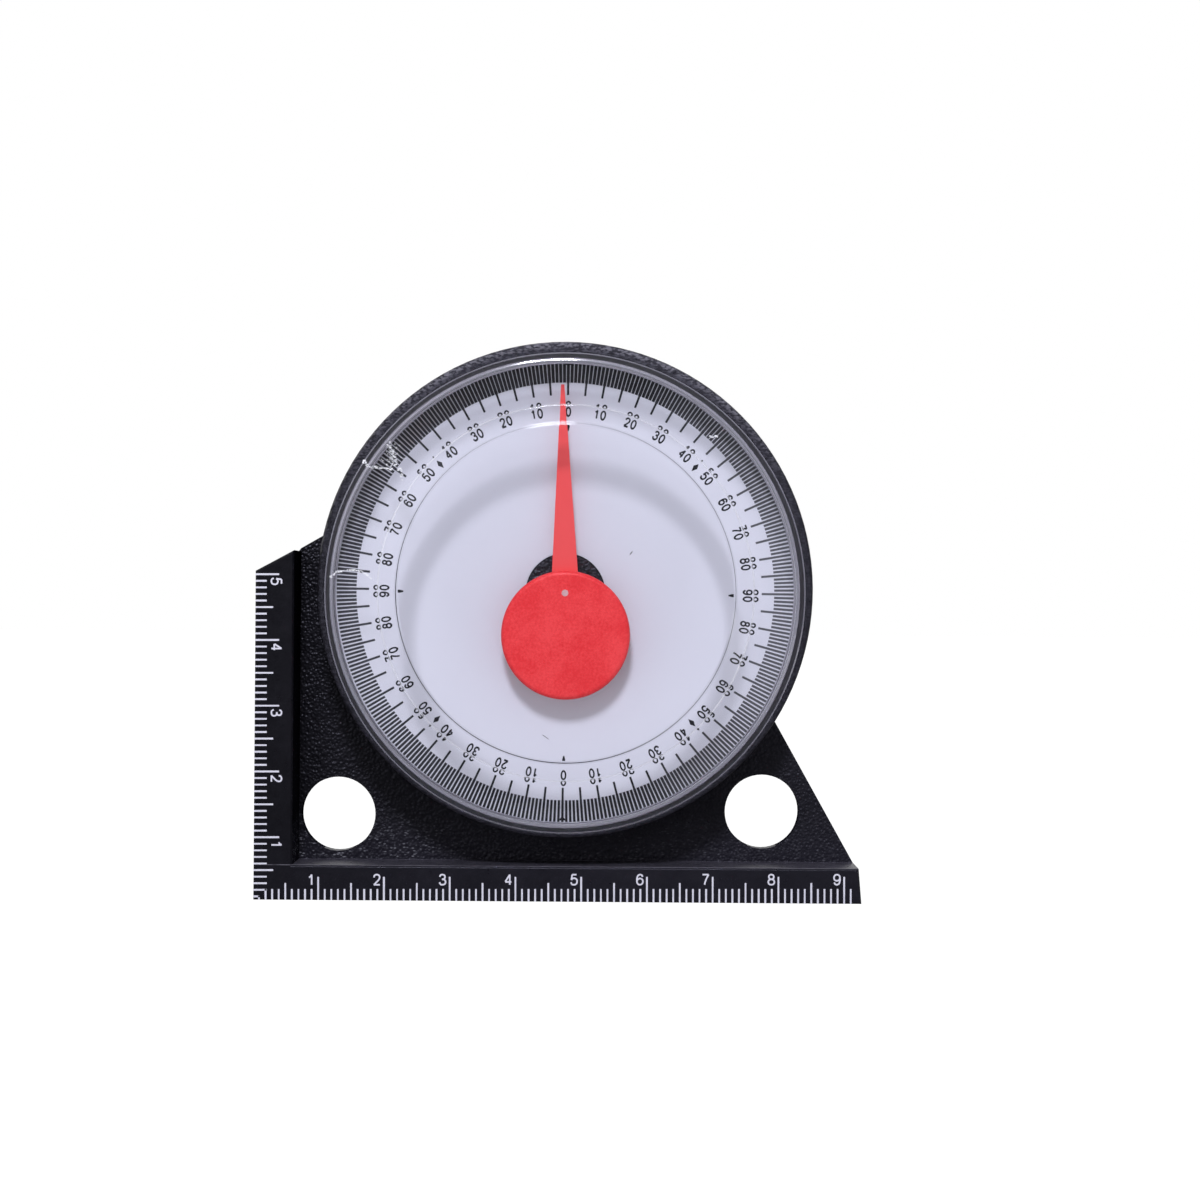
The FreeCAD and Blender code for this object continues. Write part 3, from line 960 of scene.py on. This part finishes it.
@dataclass
class RulerPrint:
    """Centimetre scales printed on the front faces of the base and the side wall."""

    layout: Layout
    skew_deg: float = 0.42
    base_shift: float = -0.1
    side_shift: float = -0.49
    base_marks: int = 91
    side_marks: int = 50
    mark_width: float = 0.27
    base_ends: tuple[float, float, float] = (1.63, 2.54, 3.48)
    side_ends: tuple[float, float, float] = (2.08, 3.06, 3.97)
    digits: Lettering = Lettering(height=1.78, width=1.17, pen=0.24, gap=0.2)
    base_digit_middle: float = 3.05
    side_digit_middle: float = 3.56
    digit_gap: float = 1.08
    ink_thickness: float = 0.03
    edge_margin: float = 0.02
    width_range: Span = (0.9, 1.08)

    def mark_ends(self, count: int, ends: tuple[float, float, float]) -> Array:
        """Far end of each millimetre mark: short, middle at 5 mm, long at 10 mm.

        Args:
            count: how many marks.
            ends: the three lengths.

        Returns:
            count lengths, from the first millimetre on.
        """
        number = np.arange(1, count + 1)
        return np.where(number % 10 == 0, ends[2], np.where(number % 5 == 0, ends[1], ends[0]))

    def skewed(self, points: Array) -> Array:
        """Points of the print, turned a little about the corner as the real print is.

        Args:
            points: (n, 2) places from the corner, right and up.

        Returns:
            (n, 2) places in the row frame.
        """
        turn = math.radians(self.skew_deg)
        x = points[:, 0] * math.cos(turn) - points[:, 1] * math.sin(turn)
        z = points[:, 0] * math.sin(turn) + points[:, 1] * math.cos(turn)
        return np.stack([x + self.layout.left_x, z], axis=1)

    def marks(self) -> MeshArrays:
        """All the millimetre marks of both scales, as thin bars.

        Returns:
            Vertices and the face groups.
        """
        base_at = np.arange(1, self.base_marks + 1) + self.base_shift
        side_at = np.arange(1, self.side_marks + 1) + self.side_shift
        base_length = self.mark_ends(self.base_marks, self.base_ends)
        side_length = self.mark_ends(self.side_marks, self.side_ends)
        base_length[0] = side_at[0] + self.mark_width / 2
        side_length[0] = base_at[0] + self.mark_width / 2
        base_far = self.skewed(np.stack([base_at, base_length], axis=1))
        base_near = self.skewed(np.stack([base_at, np.zeros(self.base_marks)], axis=1))
        base_near[:, 1] = self.edge_margin
        side_far = self.skewed(np.stack([side_length, side_at], axis=1))
        side_near = self.skewed(np.stack([np.zeros(self.side_marks), side_at], axis=1))
        side_near[:, 0] = self.layout.left_x + self.edge_margin
        starts = np.concatenate([base_near, side_near])
        ends = np.concatenate([base_far, side_far])
        rng = np.random.default_rng(7)
        widths = self.mark_width * rng.uniform(*self.width_range, len(starts))
        face = self.layout.band_y
        return bars(starts, ends, widths, face - self.ink_thickness, face)

    def numbers(self) -> MeshArrays:
        """Centimetre numbers of both scales.

        Returns:
            Vertices and the face groups.
        """
        face = self.layout.band_y
        skew = -math.radians(self.skew_deg)
        rows = []
        for number in range(1, self.base_marks // 10 + 1):
            along = 10 * number + self.base_shift - self.digit_gap
            rows.append((number, (along, self.base_digit_middle), skew))
        for number in range(1, self.side_marks // 10 + 1):
            along = 10 * number + self.side_shift - self.digit_gap
            rows.append((number, (self.side_digit_middle, along), skew + FULL_TURN / 4))
        parts = []
        for number, middle, turn in rows:
            place = self.skewed(np.array([middle]))[0]
            parts.append(self.digits.number(str(number), place, turn, face - self.ink_thickness, face))
        return merged(parts)

    def build(self, ink: Material) -> list:
        """Makes both printed pieces.

        Args:
            ink: the ink's material.

        Returns:
            The new objects.
        """
        marks = new_piece("ruler_marks", self.marks(), [ink])
        return [marks, new_piece("ruler_numbers", self.numbers(), [ink])]


@dataclass
class DialPrint:
    """Degree scale printed on the dial plate."""

    layout: Layout
    turn_deg: float = 0.35
    rise: float = 0.24
    numbers_shift: tuple[float, float] = (0.08, -0.3)
    tick_outer: float = 35.22
    tick_bleed: float = 0.45
    tick_inner: float = 32.11
    long_tick_inner: float = 30.2
    tick_widths: tuple[float, ...] = (0.467, 0.467, 0.45, 0.40, 0.34, 0.35, 0.37, 0.445, 0.425,
                                      0.375, 0.40, 0.42, 0.343, 0.38, 0.415, 0.42, 0.48, 0.49)
    long_tick_width: float = 0.33
    digits: Lettering = Lettering(height=1.44, width=0.92, pen=0.25, gap=0.15)
    number_radius: float = 28.93
    dash_inner: float = 25.0
    dash_outer: float = 26.3
    dash_width: float = 0.5
    diamond_radius: float = 28.75
    diamond_height: float = 1.4
    diamond_width: float = 0.8
    wedge_inner: float = 34.55
    wedge_width: float = 1.3
    scratch_ends: tuple = (((-3.34, -21.86), (-2.42, -22.50)), ((9.87, 5.97), (10.27, 6.47)))
    scratch_widths: tuple[float, ...] = (0.075, 0.12)
    ink_thickness: float = 0.015
    layer_step: float = 0.004

    def tick_centre(self) -> Array:
        """Middle of the tick ring, which is printed a little above the pivot."""
        return self.layout.axis + np.array([0, self.rise])

    def number_centre(self) -> Array:
        """Middle of the numbers, a second pass that sits a little lower than the ticks."""
        return self.tick_centre() + np.array(self.numbers_shift)

    def spot(self, centre: Array, radius: Array, degrees: Array) -> Array:
        """Place of a polar point, counted clockwise from the top as the reader sees it.

        Args:
            centre: middle of the ring it belongs to.
            radius: distances from that middle.
            degrees: angles on the scale.

        Returns:
            (n, 2) places (x, z).
        """
        angle = np.radians(np.asarray(degrees, float) + self.turn_deg)
        return centre + np.stack([radius * np.sin(angle), radius * np.cos(angle)], axis=-1)

    def ticks(self) -> MeshArrays:
        """One tick for each degree, longer at every fifth.

        Returns:
            Vertices and the face groups.
        """
        degrees = np.arange(360)
        table = np.array(self.tick_widths)
        table_at = np.arange(len(table) + 1) * 360 / len(table)
        inked = np.interp(degrees, table_at, np.append(table, table[0]))
        face = self.layout.dial_y
        front = face - self.ink_thickness
        fifths = degrees[::5]
        starts = self.spot(self.tick_centre(), np.full(len(degrees), self.tick_inner), degrees)
        bleed = self.tick_bleed * np.maximum(-np.cos(np.radians(degrees)), 0) ** 2
        ends = self.spot(self.tick_centre(), self.tick_outer + bleed, degrees)
        long_starts = self.spot(self.tick_centre(), np.full(len(fifths), self.long_tick_inner), fifths)
        long_widths = np.full(len(fifths), self.long_tick_width)
        short = bars(starts, ends, inked, front, face)
        long = bars(long_starts, ends[::5], long_widths, front - self.layer_step, face)
        return merged([short, long])

    def numbers(self) -> MeshArrays:
        """A number at every tenth degree, counted from 0 to 90 in each quarter, tops outwards.

        Returns:
            Vertices and the face groups.
        """
        parts = []
        for degrees in range(0, 360, 10):
            value = abs((degrees + 90) % 180 - 90)
            place = self.spot(self.number_centre(), self.number_radius, degrees)
            turn = math.radians(degrees + self.turn_deg)
            face = self.layout.dial_y
            parts.append(self.digits.number(str(value), place, turn, face - self.ink_thickness, face))
        return merged(parts)

    def figure(self, outline: Array, centre: Array, radius: float, degrees: float) -> Array:
        """An outline moved out to a place on the scale and turned with it.

        Args:
            outline: (k, 2) corners, sideways and outwards.
            centre: middle of the ring it belongs to.
            radius: distance of its middle from there.
            degrees: its angle on the scale.

        Returns:
            (k, 2) corners (x, z).
        """
        angle = math.radians(degrees + self.turn_deg)
        out = np.array([math.sin(angle), math.cos(angle)])
        side = np.array([math.cos(angle), -math.sin(angle)])
        return centre + outline[:, :1] * side + (radius + outline[:, 1:]) * out

    def figures(self) -> MeshArrays:
        """Diamonds at the eighths, dashes at the quarters and wedges at both zeros.

        Returns:
            Vertices and the face groups.
        """
        face = self.layout.dial_y
        front = face - self.ink_thickness
        lower = front - self.layer_step
        half_w, half_h = self.diamond_width / 2, self.diamond_height / 2
        diamond = np.array([[-half_w, 0], [0, -half_h], [half_w, 0], [0, half_h]])
        wide, end = self.dash_width, (self.dash_outer - self.dash_inner) / 2
        dash = np.array([[-wide / 2, 0], [-wide / 5, -end], [wide / 5, -end],
                         [wide / 2, 0], [wide / 4, end], [-wide / 4, end]])
        deep, half = (self.tick_outer - self.wedge_inner) / 2, self.wedge_width / 2
        wedge = np.array([[0, -deep], [half, deep], [-half, deep]])
        dash_at = (self.dash_inner + self.dash_outer) / 2
        numbers_at = self.number_centre()
        rows = [
            (diamond, numbers_at, self.diamond_radius, (45, 135, 225, 315), front),
            (dash, numbers_at, dash_at, (0, 90, 180, 270), lower),
            (wedge, self.tick_centre(), self.wedge_inner + deep, (0, 180), lower),
        ]
        parts = []
        for outline, centre, radius, degrees, front_y in rows:
            outlines = np.stack([self.figure(outline, centre, radius, angle) for angle in degrees])
            parts.append(prisms(outlines, front_y, face))
        return merged(parts)

    def scratches(self) -> MeshArrays:
        """Two tiny dark scratches on the enamel.

        Returns:
            Vertices and the face groups.
        """
        ends = np.array(self.scratch_ends)
        face = self.layout.dial_y
        starts, stops = self.layout.axis + ends[:, 0], self.layout.axis + ends[:, 1]
        return bars(starts, stops, np.array(self.scratch_widths), face - self.ink_thickness, face)

    def build(self, ink: Material, tick_ink: Material) -> list:
        """Makes the printed pieces.

        Args:
            ink: the ink of the numbers and figures.
            tick_ink: the ink of the ticks.

        Returns:
            The new objects.
        """
        return [
            new_piece("dial_ticks", self.ticks(), [tick_ink]),
            new_piece("dial_numbers", self.numbers(), [ink]),
            new_piece("dial_figures", self.figures(), [ink]),
            new_piece("dial_scratches", self.scratches(), [ink]),
        ]


@dataclass
class LensCover:
    """Clear moulded cap with softly rounded corners, thinner over its round window.

    The window's step is the bevel: a small facet next to the window, a straight slope and a
    rounded outer corner. A slope is a fall in depth for each millimetre of radius.
    """

    layout: Layout
    flange_radius: float = 36.55
    flange_chamfer: float = 0.22
    flange_slope: float = 0.37
    flange_rounding: float = 0.05
    wall_base_radius: float = 35.5
    wall_base_rounding: float = 0.18
    wall_front_radius: float = 35.32
    wall_thickness: float = 0.6
    inner_rounding: float = 0.1
    corner_rounding: float = 0.25
    corner_margin: float = 0.5
    front_thickness: float = 1.0
    front_margin: float = 0.02
    front_rounding: float = 0.28
    chamfer_width: float = 0.36
    chamfer_slope: float = 0.285
    thick_extra: float = 0.76
    window_radius: float = 25.27
    window_shift: Span = (0.175, -0.01)
    bevel_width: float = 3.10
    inner_facet: float = 0.62
    inner_slope: float = 0.31
    outer_rounding: float = 1.3
    outer_reach: float = 0.2
    shade_inner: float = 23.75
    shade_outer: float = 26.9
    shoulder_depth: float = 2.4
    wall_margin: float = 0.05
    outside_margin: float = 0.2
    outside_depth: float = 0.14
    rim_reach: float = 0.2
    shift_margin: float = 0.4
    face_margin: float = 0.5
    line_radius: float = 25.62
    line_thickness: float = 0.015
    line_widths: tuple[float, ...] = (0.02, 0.075, 0.06, 0.08, 0.14, 0.10, 0.12, 0.04)
    segments: int = 320
    arc_steps: int = 12
    smooth_deg: float = 8.5

    def wall_inside(self) -> float:
        """Radius of the wall's inner face at the front."""
        return self.wall_front_radius - self.wall_thickness

    def bevel_outer(self) -> float:
        """Radius at which the bevel ends in the thick part of the front."""
        return self.window_radius + self.bevel_width

    def profile(self) -> tuple[Array, Array]:
        """Corners (radius, y) from the front's middle round to the inside's middle, and their roundings."""
        front = self.layout.lens_front_y
        rim, ledge = self.layout.rim_y, self.layout.ledge_y
        inner = front + self.front_thickness
        thick = inner + self.thick_extra
        reach = self.inner_facet
        drop = reach * self.inner_slope
        share = (self.shade_outer - self.window_radius - reach) / (self.bevel_width - reach)
        shade_y = inner + drop + (self.thick_extra - drop) * share
        wall_inside = self.wall_inside()
        chamfer_y = front + self.chamfer_width * self.chamfer_slope
        flange_y = rim + self.flange_chamfer * self.flange_slope
        rows = [
            (0, front, 0),
            (wall_inside - self.front_margin, front, 0),
            (self.wall_front_radius - self.chamfer_width, front, 0),
            (self.wall_front_radius, chamfer_y, self.front_rounding),
            (self.wall_base_radius, rim, self.wall_base_rounding),
            (self.flange_radius - self.flange_chamfer, rim, 0),
            (self.flange_radius, flange_y, self.flange_rounding),
            (self.flange_radius, ledge, self.inner_rounding),
            (self.wall_base_radius - self.wall_thickness, ledge, self.inner_rounding),
            (wall_inside, thick, self.corner_rounding),
            (wall_inside - self.corner_margin, thick, 0),
            (self.bevel_outer(), thick, self.outer_rounding),
            (self.shade_outer, shade_y, 0),
            (self.window_radius + reach, inner + drop, 0),
            (self.window_radius + reach / 2, inner + drop / 2, 0),
            (self.window_radius, inner, 0),
            (self.shade_inner, inner, 0),
            (0, inner, 0),
        ]
        table = np.array(rows, float)
        return table[:, :2], table[:, 2]

    def zones(self, radius: Array, depth: Array) -> Array:
        """Which finish each face takes, by its middle's place. A later rule overrules an earlier one.

        Args:
            radius: distance from the axis.
            depth: distance behind the front face.

        Returns:
            Values of CoverZone.
        """

        def ring(low: float, high: float) -> Array:
            """Faces between two radii."""
            return (radius > low) & (radius < high)

        outer, wall_inside = self.bevel_outer(), self.wall_inside()
        flange_inside = self.flange_radius - self.flange_chamfer
        rim_depth = self.layout.rim_y - self.layout.lens_front_y
        bevelled = (depth > self.front_thickness / 2) & (radius < outer)
        at_back = depth > self.front_thickness + self.thick_extra / 2
        at_rim = np.abs(depth - rim_depth) < self.rim_reach
        in_wall = ring(wall_inside - self.front_margin, self.wall_front_radius - self.wall_margin)
        outside = ring(self.wall_front_radius - self.outside_margin, flange_inside)
        outside &= (depth > self.outside_depth) & (depth < rim_depth)
        wall = (at_back & in_wall) | outside
        chamfered = depth < self.chamfer_width * self.chamfer_slope
        rules = [
            (CoverZone.STEP, bevelled & ring(self.shade_inner, self.shade_outer)),
            (CoverZone.FACET, bevelled & ring(self.window_radius, self.window_radius + self.inner_facet)),
            (CoverZone.GLINT, at_back & (np.abs(radius - outer) < self.outer_reach)),
            (CoverZone.EDGE, (radius > wall_inside) & chamfered),
            (CoverZone.WALL, wall),
            (CoverZone.SHOULDER, wall & (depth < self.shoulder_depth)),
            (CoverZone.FLANGE, (radius > self.wall_base_radius) & at_rim),
            (CoverZone.EDGE, (radius > flange_inside) & at_rim),
        ]
        zone = np.full(len(radius), CoverZone.CLEAR.value)
        for finish, faces in rules:
            zone[faces] = finish.value
        return zone

    def build(self, finishes: list) -> Piece:
        """Makes the cap.

        Args:
            finishes: materials in the order of CoverZone.

        Returns:
            The new object.
        """
        outer, middle_y = self.bevel_outer(), self.layout.lens_front_y + self.front_thickness / 2
        outline = rounded_profile(*self.profile(), self.arc_steps)
        in_window = (outline[:, 0] < outer + self.shift_margin) & (outline[:, 1] > middle_y)
        shift = in_window[:, None] * np.array(self.window_shift)
        arrays = turned(outline, self.layout.axis, self.segments, shift)
        piece = new_piece("lens_shell", arrays, finishes, smooth_deg=self.smooth_deg)
        centres = np.empty(len(piece.data.polygons) * 3, np.float32)
        piece.data.polygons.foreach_get("center", centres)
        centres = centres.reshape(-1, 3) / MM
        away = centres[:, [0, 2]] - self.layout.axis
        in_window = np.linalg.norm(away, axis=1) < outer + self.face_margin
        in_window &= centres[:, 1] > middle_y
        radius = np.linalg.norm(away - in_window[:, None] * np.array(self.window_shift), axis=1)
        zone = self.zones(radius, centres[:, 1] - self.layout.lens_front_y)
        piece.data.polygons.foreach_set("material_index", zone.astype(np.int32))
        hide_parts("lens_cover")
        return piece

    def edge_line(self, ink: Material) -> Piece:
        """Makes a painted dark line on the cover's inner face along the rounded edge of the window, in place
        of the dark line its refraction shows there.

        Args:
            ink: the line's material.

        Returns:
            The new object.
        """
        inner = self.layout.lens_front_y + self.front_thickness
        face = inner + self.inner_facet * self.inner_slope
        centre = self.layout.axis + np.array(self.window_shift)
        arrays = hoop(centre, self.line_radius, np.array(self.line_widths), face, face + self.line_thickness)
        return new_piece("window_edge_line", arrays, [ink])


@dataclass
class CoverFlecks:
    """Chains of tiny white flecks in the cover: painted glints of the crazing along its moulded corner, and
    one painted glint at the upper right.
    """

    layout: Layout
    depth: float = 0.05
    thickness: float = 0.03
    size: float = 0.36
    size_range: Span = (0.35, 1.1)
    curve_steps: int = 12
    chains: tuple = (
        (((-35.3, 2.1), (-34.2, 2.9), (-32.4, 3.2), (-30.6, 3.0), (-29.0, 1.9)), 30, 0.05, 1.3),
        (((-30.3, 19.5), (-29.4, 18.7), (-27.9, 18.6), (-26.0, 18.4)), 22, 0.06, 1.35),
        (((-26.8, 22.3), (-25.9, 20.6), (-25.1, 18.9), (-24.4, 17.0)), 30, 0.20, 1.2),
        (((-26.0, 21.7), (-26.3, 20.3), (-26.0, 18.9)), 90, 0.55, 0.6),
        # A lone painted glint at the upper right.
        (((21.6, 23.7), (22.2, 23.6), (22.9, 23.6)), 7, 0.10, 1.1),
    )

    def arrays(self) -> MeshArrays:
        """Small leaning quads strewn along each chain.

        A chain is its points, count, spread and share of the size. It is a smooth curve through
        its points, cut into even shares of its count. A quad is put at each share, moved by a
        random amount of about the chain's spread.

        Returns:
            Vertices and the face groups.
        """
        rng = np.random.default_rng(11)
        corners = np.array([[-1, -0.5], [0.8, -0.7], [1, 0.6], [-0.7, 0.5]]) / 2
        outlines = []
        for points, count, spread, share_of_size in self.chains:
            curve = smoothed(np.array(points), False, self.curve_steps)
            share = np.linspace(0, len(curve) - 1, count)
            across, up = (np.interp(share, np.arange(len(curve)), row) for row in curve.T)
            spots = np.stack([across, up], axis=1)
            spots = spots + rng.normal(0, spread, spots.shape)
            size = self.size * share_of_size * rng.uniform(*self.size_range, (count, 1, 1))
            outlines.append(self.layout.axis + spots[:, None] + corners * size)
        front = self.layout.lens_front_y + self.depth
        return prisms(np.concatenate(outlines), front, front + self.thickness)

    def build(self, finish: Material) -> Piece:
        """Makes the flecks.

        Args:
            finish: their material.

        Returns:
            The new object.
        """
        return new_piece("cover_painted_glints", self.arrays(), [finish])


@dataclass
class Hardware:
    """Finishes of the pieces that keep their solid shape."""

    layout: Layout
    base_top: float = 5.35

    def dress(self, node: str, material: Material) -> None:
        """Gives one solid piece its material."""
        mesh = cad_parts[node].data
        mesh.materials.clear()
        mesh.materials.append(material)

    def build(self) -> None:
        """Dresses every solid piece."""
        axis = tuple(self.layout.axis)
        black = MouldedPlastic(axis, self.layout.band_y, self.base_top).material()
        brass = BareMetal("turned_brass", (0.72, 0.48, 0.18)).material()
        dull_steel = BareMetal("dull_steel", (0.38, 0.38, 0.40), rough_low=0.35, rough_high=0.55).material()
        # The axle steel's pink base colour is a painted reflection of the red pointer round its end.
        axle_steel = BareMetal("axle_steel", (0.66, 0.42, 0.43), rough_low=0.5, rough_high=0.6).material()
        ferrite = Ferrite().material()
        tape_grey = Enamel("tape_grey", (0.6, 0.58, 0.52), (0.5, 0.48, 0.43), specular=0.2).material()
        washer_white = Enamel("washer_white", (0.75, 0.75, 0.73), (0.68, 0.68, 0.66)).material()
        needle_red = Enamel("needle_red", (0.87, 0.088, 0.092), (0.84, 0.078, 0.083),
                            specular=0.25).material()
        weight_red = Enamel("weight_red", (0.90, 0.056, 0.064), (0.79, 0.024, 0.032), mottle_mm=5.0,
                            peel_mm=0.30, peel_depth_mm=0.05, specular=0.22, grain_share=0.42,
                            rough_low=0.38, rough_high=0.5).material()
        finishes = {
            "housing": black,
            "boss_plug": black,
            "dial_plate": DialWhite(axis).material(),
            "dial_tape": tape_grey,
            "pointer_needle": needle_red,
            "pendulum_weight": weight_red,
            "pivot_axle": axle_steel,
            "retaining_clip": dull_steel,
            "magnet_keeper": dull_steel,
            "bearing_sleeve": brass,
            "hub_collar": brass,
            "thrust_washer": washer_white,
        }
        for node in sorted(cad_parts):
            if node.startswith("base_magnet"):
                finishes[node] = ferrite
        for node, material in finishes.items():
            self.dress(node, material)


# Studio


@dataclass
class Studio:
    """Camera, lamp, floor and surroundings. Lengths are in millimetres."""

    layout: Layout
    image_pixels: float = 1200.0
    pixels_per_mm: float = 6.575
    distance: float = 384.0
    nearest: float = 10.0
    aim_from_left: float = 52.43
    aim_height: float = 45.97
    roll_deg: float = 0.42
    sensor_mm: float = 36.0
    key_power: float = 3.3
    key_distance: float = 700.0
    key_size: float = 112.0
    key_rise_deg: float = 39.3
    key_left_deg: float = 4.8
    key_colour: Colour = (0.90, 0.915, 1.0)
    sky_strength: float = 0.5
    sky_colour: Colour = (0.97, 0.98, 1.0)
    sky_in_gloss: float = 0.08
    window_direction: tuple[float, float, float] = (-0.456, -0.850, 0.263)
    window_colour: Colour = (0.95, 0.97, 1.0)
    window_strength: float = 1.0
    window_edge: Span = (0.93, 0.985)
    backdrop_edge: Span = (0.0, 0.3)
    floor_half: float = 3000.0
    floor_drop: float = 0.05
    floor_colour: Colour = (0.8, 0.8, 0.8)
    floor_behind: Span = (0.0, 200.0)
    floor_glow: float = 1.2
    floor_share: float = 0.82
    patch_near: Span = (-120.0, -70.0)
    patch_far: Span = (-300.0, -200.0)
    patch_right: Span = (30.0, 70.0)

    def camera(self) -> None:
        """Places the camera square to the ruler face, with the photograph's scale and slight roll."""
        data = bpy.data.cameras.new("reading_camera")
        data.sensor_width = self.sensor_mm
        data.lens = self.sensor_mm * self.pixels_per_mm * self.distance / self.image_pixels
        data.clip_start = self.nearest * MM
        camera = bpy.data.objects.new("reading_camera", data)
        bpy.context.scene.collection.objects.link(camera)
        x = self.layout.left_x + self.aim_from_left
        camera.location = (x * MM, (self.layout.band_y - self.distance) * MM, self.aim_height * MM)
        camera.rotation_euler = (math.pi / 2, -math.radians(self.roll_deg), 0)
        bpy.context.scene.camera = camera

    def key_lamp(self) -> None:
        """Puts one square lamp high in front of the object and a little left, turned to the dial."""
        data = bpy.data.lights.new("key_lamp", "AREA")
        data.energy = self.key_power
        data.color = self.key_colour
        data.size = self.key_size * MM
        light = bpy.data.objects.new("key_lamp", data)
        bpy.context.scene.collection.objects.link(light)
        rise, left = math.radians(self.key_rise_deg), math.radians(self.key_left_deg)
        level = math.cos(rise)
        away = np.array([-math.sin(left) * level, -math.cos(left) * level, math.sin(rise)])
        target = np.array([self.layout.axis[0], self.layout.band_y, self.layout.axis[1]])
        light.location = (target + away * self.key_distance) * MM
        light.rotation_euler = (math.pi / 2 - rise, 0, -left)

    def floor_finish(self) -> Material:
        """Matt white to light, white to the eye but for a faint shadow, dim with a pale patch in gloss."""
        n = Nodes.fresh("floor_white")
        path = n.add("LightPath")
        x, y, _ = n.split(n.place())
        mirrored = n.math("MAXIMUM", path.outputs["Is Glossy Ray"], path.outputs["Is Transmission Ray"])
        behind = n.product(mirrored, n.span(y, self.floor_behind))
        seen = n.math("MAXIMUM", path.outputs["Is Camera Ray"], behind)
        ahead = n.product(n.span(y, self.patch_near, 0.0, 1.0, 0.0), n.span(y, self.patch_far))
        patch = n.product(ahead, n.span(x, self.patch_right), path.outputs["Is Glossy Ray"])
        paint = n.add("BsdfDiffuse", Color=self.floor_colour)
        dim = n.add("Emission", Color=WHITE, Strength=n.math("ADD", patch, self.sky_in_gloss))
        glow = n.add("Emission", Color=WHITE, Strength=self.floor_glow)
        return n.finish(n.mix(n.product(seen, self.floor_share), n.mix(mirrored, paint, dim), glow))

    def floor(self) -> None:
        """Pale floor that keeps a faint shadow of the object."""
        half = self.floor_half * MM
        mesh = bpy.data.meshes.new("floor")
        corners = [(-half, -half, 0), (half, -half, 0), (half, half, 0), (-half, half, 0)]
        mesh.from_pydata(corners, [], [(0, 1, 2, 3)])
        mesh.materials.append(self.floor_finish())
        floor = bpy.data.objects.new("floor", mesh)
        floor.location = (0, 0, -self.floor_drop * MM)
        bpy.context.scene.collection.objects.link(floor)

    def surroundings(self) -> None:
        """White to the eye and through the cover, softer grey as light and in gloss."""
        world = bpy.data.worlds.new("studio")
        bpy.context.scene.world = world
        world.cycles.sampling_method = "NONE"
        n = Nodes.emptied(world)
        path = n.add("LightPath")
        direction = n.add("TexCoord").outputs["Generated"]
        behind = n.ramp(n.split(direction)[1], *self.backdrop_edge)
        mirrored = n.math("MAXIMUM", path.outputs["Is Glossy Ray"], path.outputs["Is Transmission Ray"])
        seen = n.math("MAXIMUM", path.outputs["Is Camera Ray"], n.product(mirrored, behind))
        towards = n.add("VectorMath", {"operation": "DOT_PRODUCT"})
        n.put(towards.inputs[0], direction)
        n.put(towards.inputs[1], self.window_direction)
        patch = n.ramp(towards.outputs["Value"], *self.window_edge)
        dim = n.add("Background", Color=WHITE, Strength=self.sky_in_gloss)
        window = n.add("Background", Color=self.window_colour, Strength=self.window_strength)
        sky = n.add("Background", Color=self.sky_colour, Strength=self.sky_strength)
        room = n.mix(mirrored, sky, n.mix(patch, dim, window))
        shown = n.mix(seen, room, n.add("Background", Color=WHITE, Strength=1.0))
        n.add("OutputWorld", Surface=shown.outputs[0])

    def build(self) -> None:
        """Sets up everything round the object."""
        bpy.context.scene.view_settings.view_transform = "Standard"
        self.camera()
        self.key_lamp()
        self.floor()
        self.surroundings()


def main() -> None:
    """Builds the studio, the finishes and the pieces in order, and reports each piece."""
    logging.basicConfig(level=logging.INFO, format="%(message)s")
    layout = Layout()
    Studio(layout).build()
    Hardware(layout).build()
    ruler_ink = Enamel("ruler_ink", (0.71, 0.70, 0.78), (0.62, 0.61, 0.70), mottle_mm=1.2,
                       specular=0.2).material()
    dial_ink = Enamel("dial_ink", (0.014, 0.014, 0.020), (0.022, 0.022, 0.030), mottle_mm=1.5,
                      specular=0.2).material()
    # White flecks that paint glints in the cover.
    painted_glint_white = Enamel("painted_glint_white", (0.93, 0.93, 0.95), (0.85, 0.85, 0.90), specular=0.5).material()
    milky_tint = (0.47, 0.45, 0.57)
    clear = {
        CoverZone.CLEAR: ClearStyrene("clear_styrene", (0.97, 0.97, 0.975)),
        CoverZone.STEP: ClearStyrene("clear_step", (0.40, 0.40, 0.42)),
        CoverZone.WALL: ClearStyrene("clear_wall", (0.40, 0.40, 0.42), frost=0.35, tint=milky_tint,
                                     milk=0.2),
        CoverZone.EDGE: ClearStyrene("clear_edge", (0.92, 0.92, 0.93), frost=0.12, milk=0.25, glint=0.13),
        CoverZone.GLINT: ClearStyrene("clear_glint", (0.55, 0.55, 0.57), glint=0.14, milk=0.20,
                                      milk_colour=(0.93, 0.93, 0.97)),
        CoverZone.FLANGE: ClearStyrene("clear_flange", (0.7, 0.7, 0.72), frost=0.3, milk=0.035),
        CoverZone.FACET: ClearStyrene("clear_facet", (0.55, 0.55, 0.57), glint=0.07, milk=0.05),
        CoverZone.SHOULDER: ClearStyrene("clear_shoulder", (0.92, 0.92, 0.93), frost=0.35, tint=milky_tint,
                                         milk=0.15),
    }
    cover = LensCover(layout)
    pieces = [
        *RulerPrint(layout).build(ruler_ink),
        *DialPrint(layout).build(dial_ink, ScaleInk(layout.axis[0]).material()),
        cover.build([clear[zone].material() for zone in CoverZone]),
        # A painted dark line along the window's edge.
        cover.edge_line(dial_ink),
        CoverFlecks(layout).build(painted_glint_white),
    ]
    for piece in pieces:
        log.info("%s: %d faces", piece.name, len(piece.data.polygons))


if __name__ == "__main__":
    main()
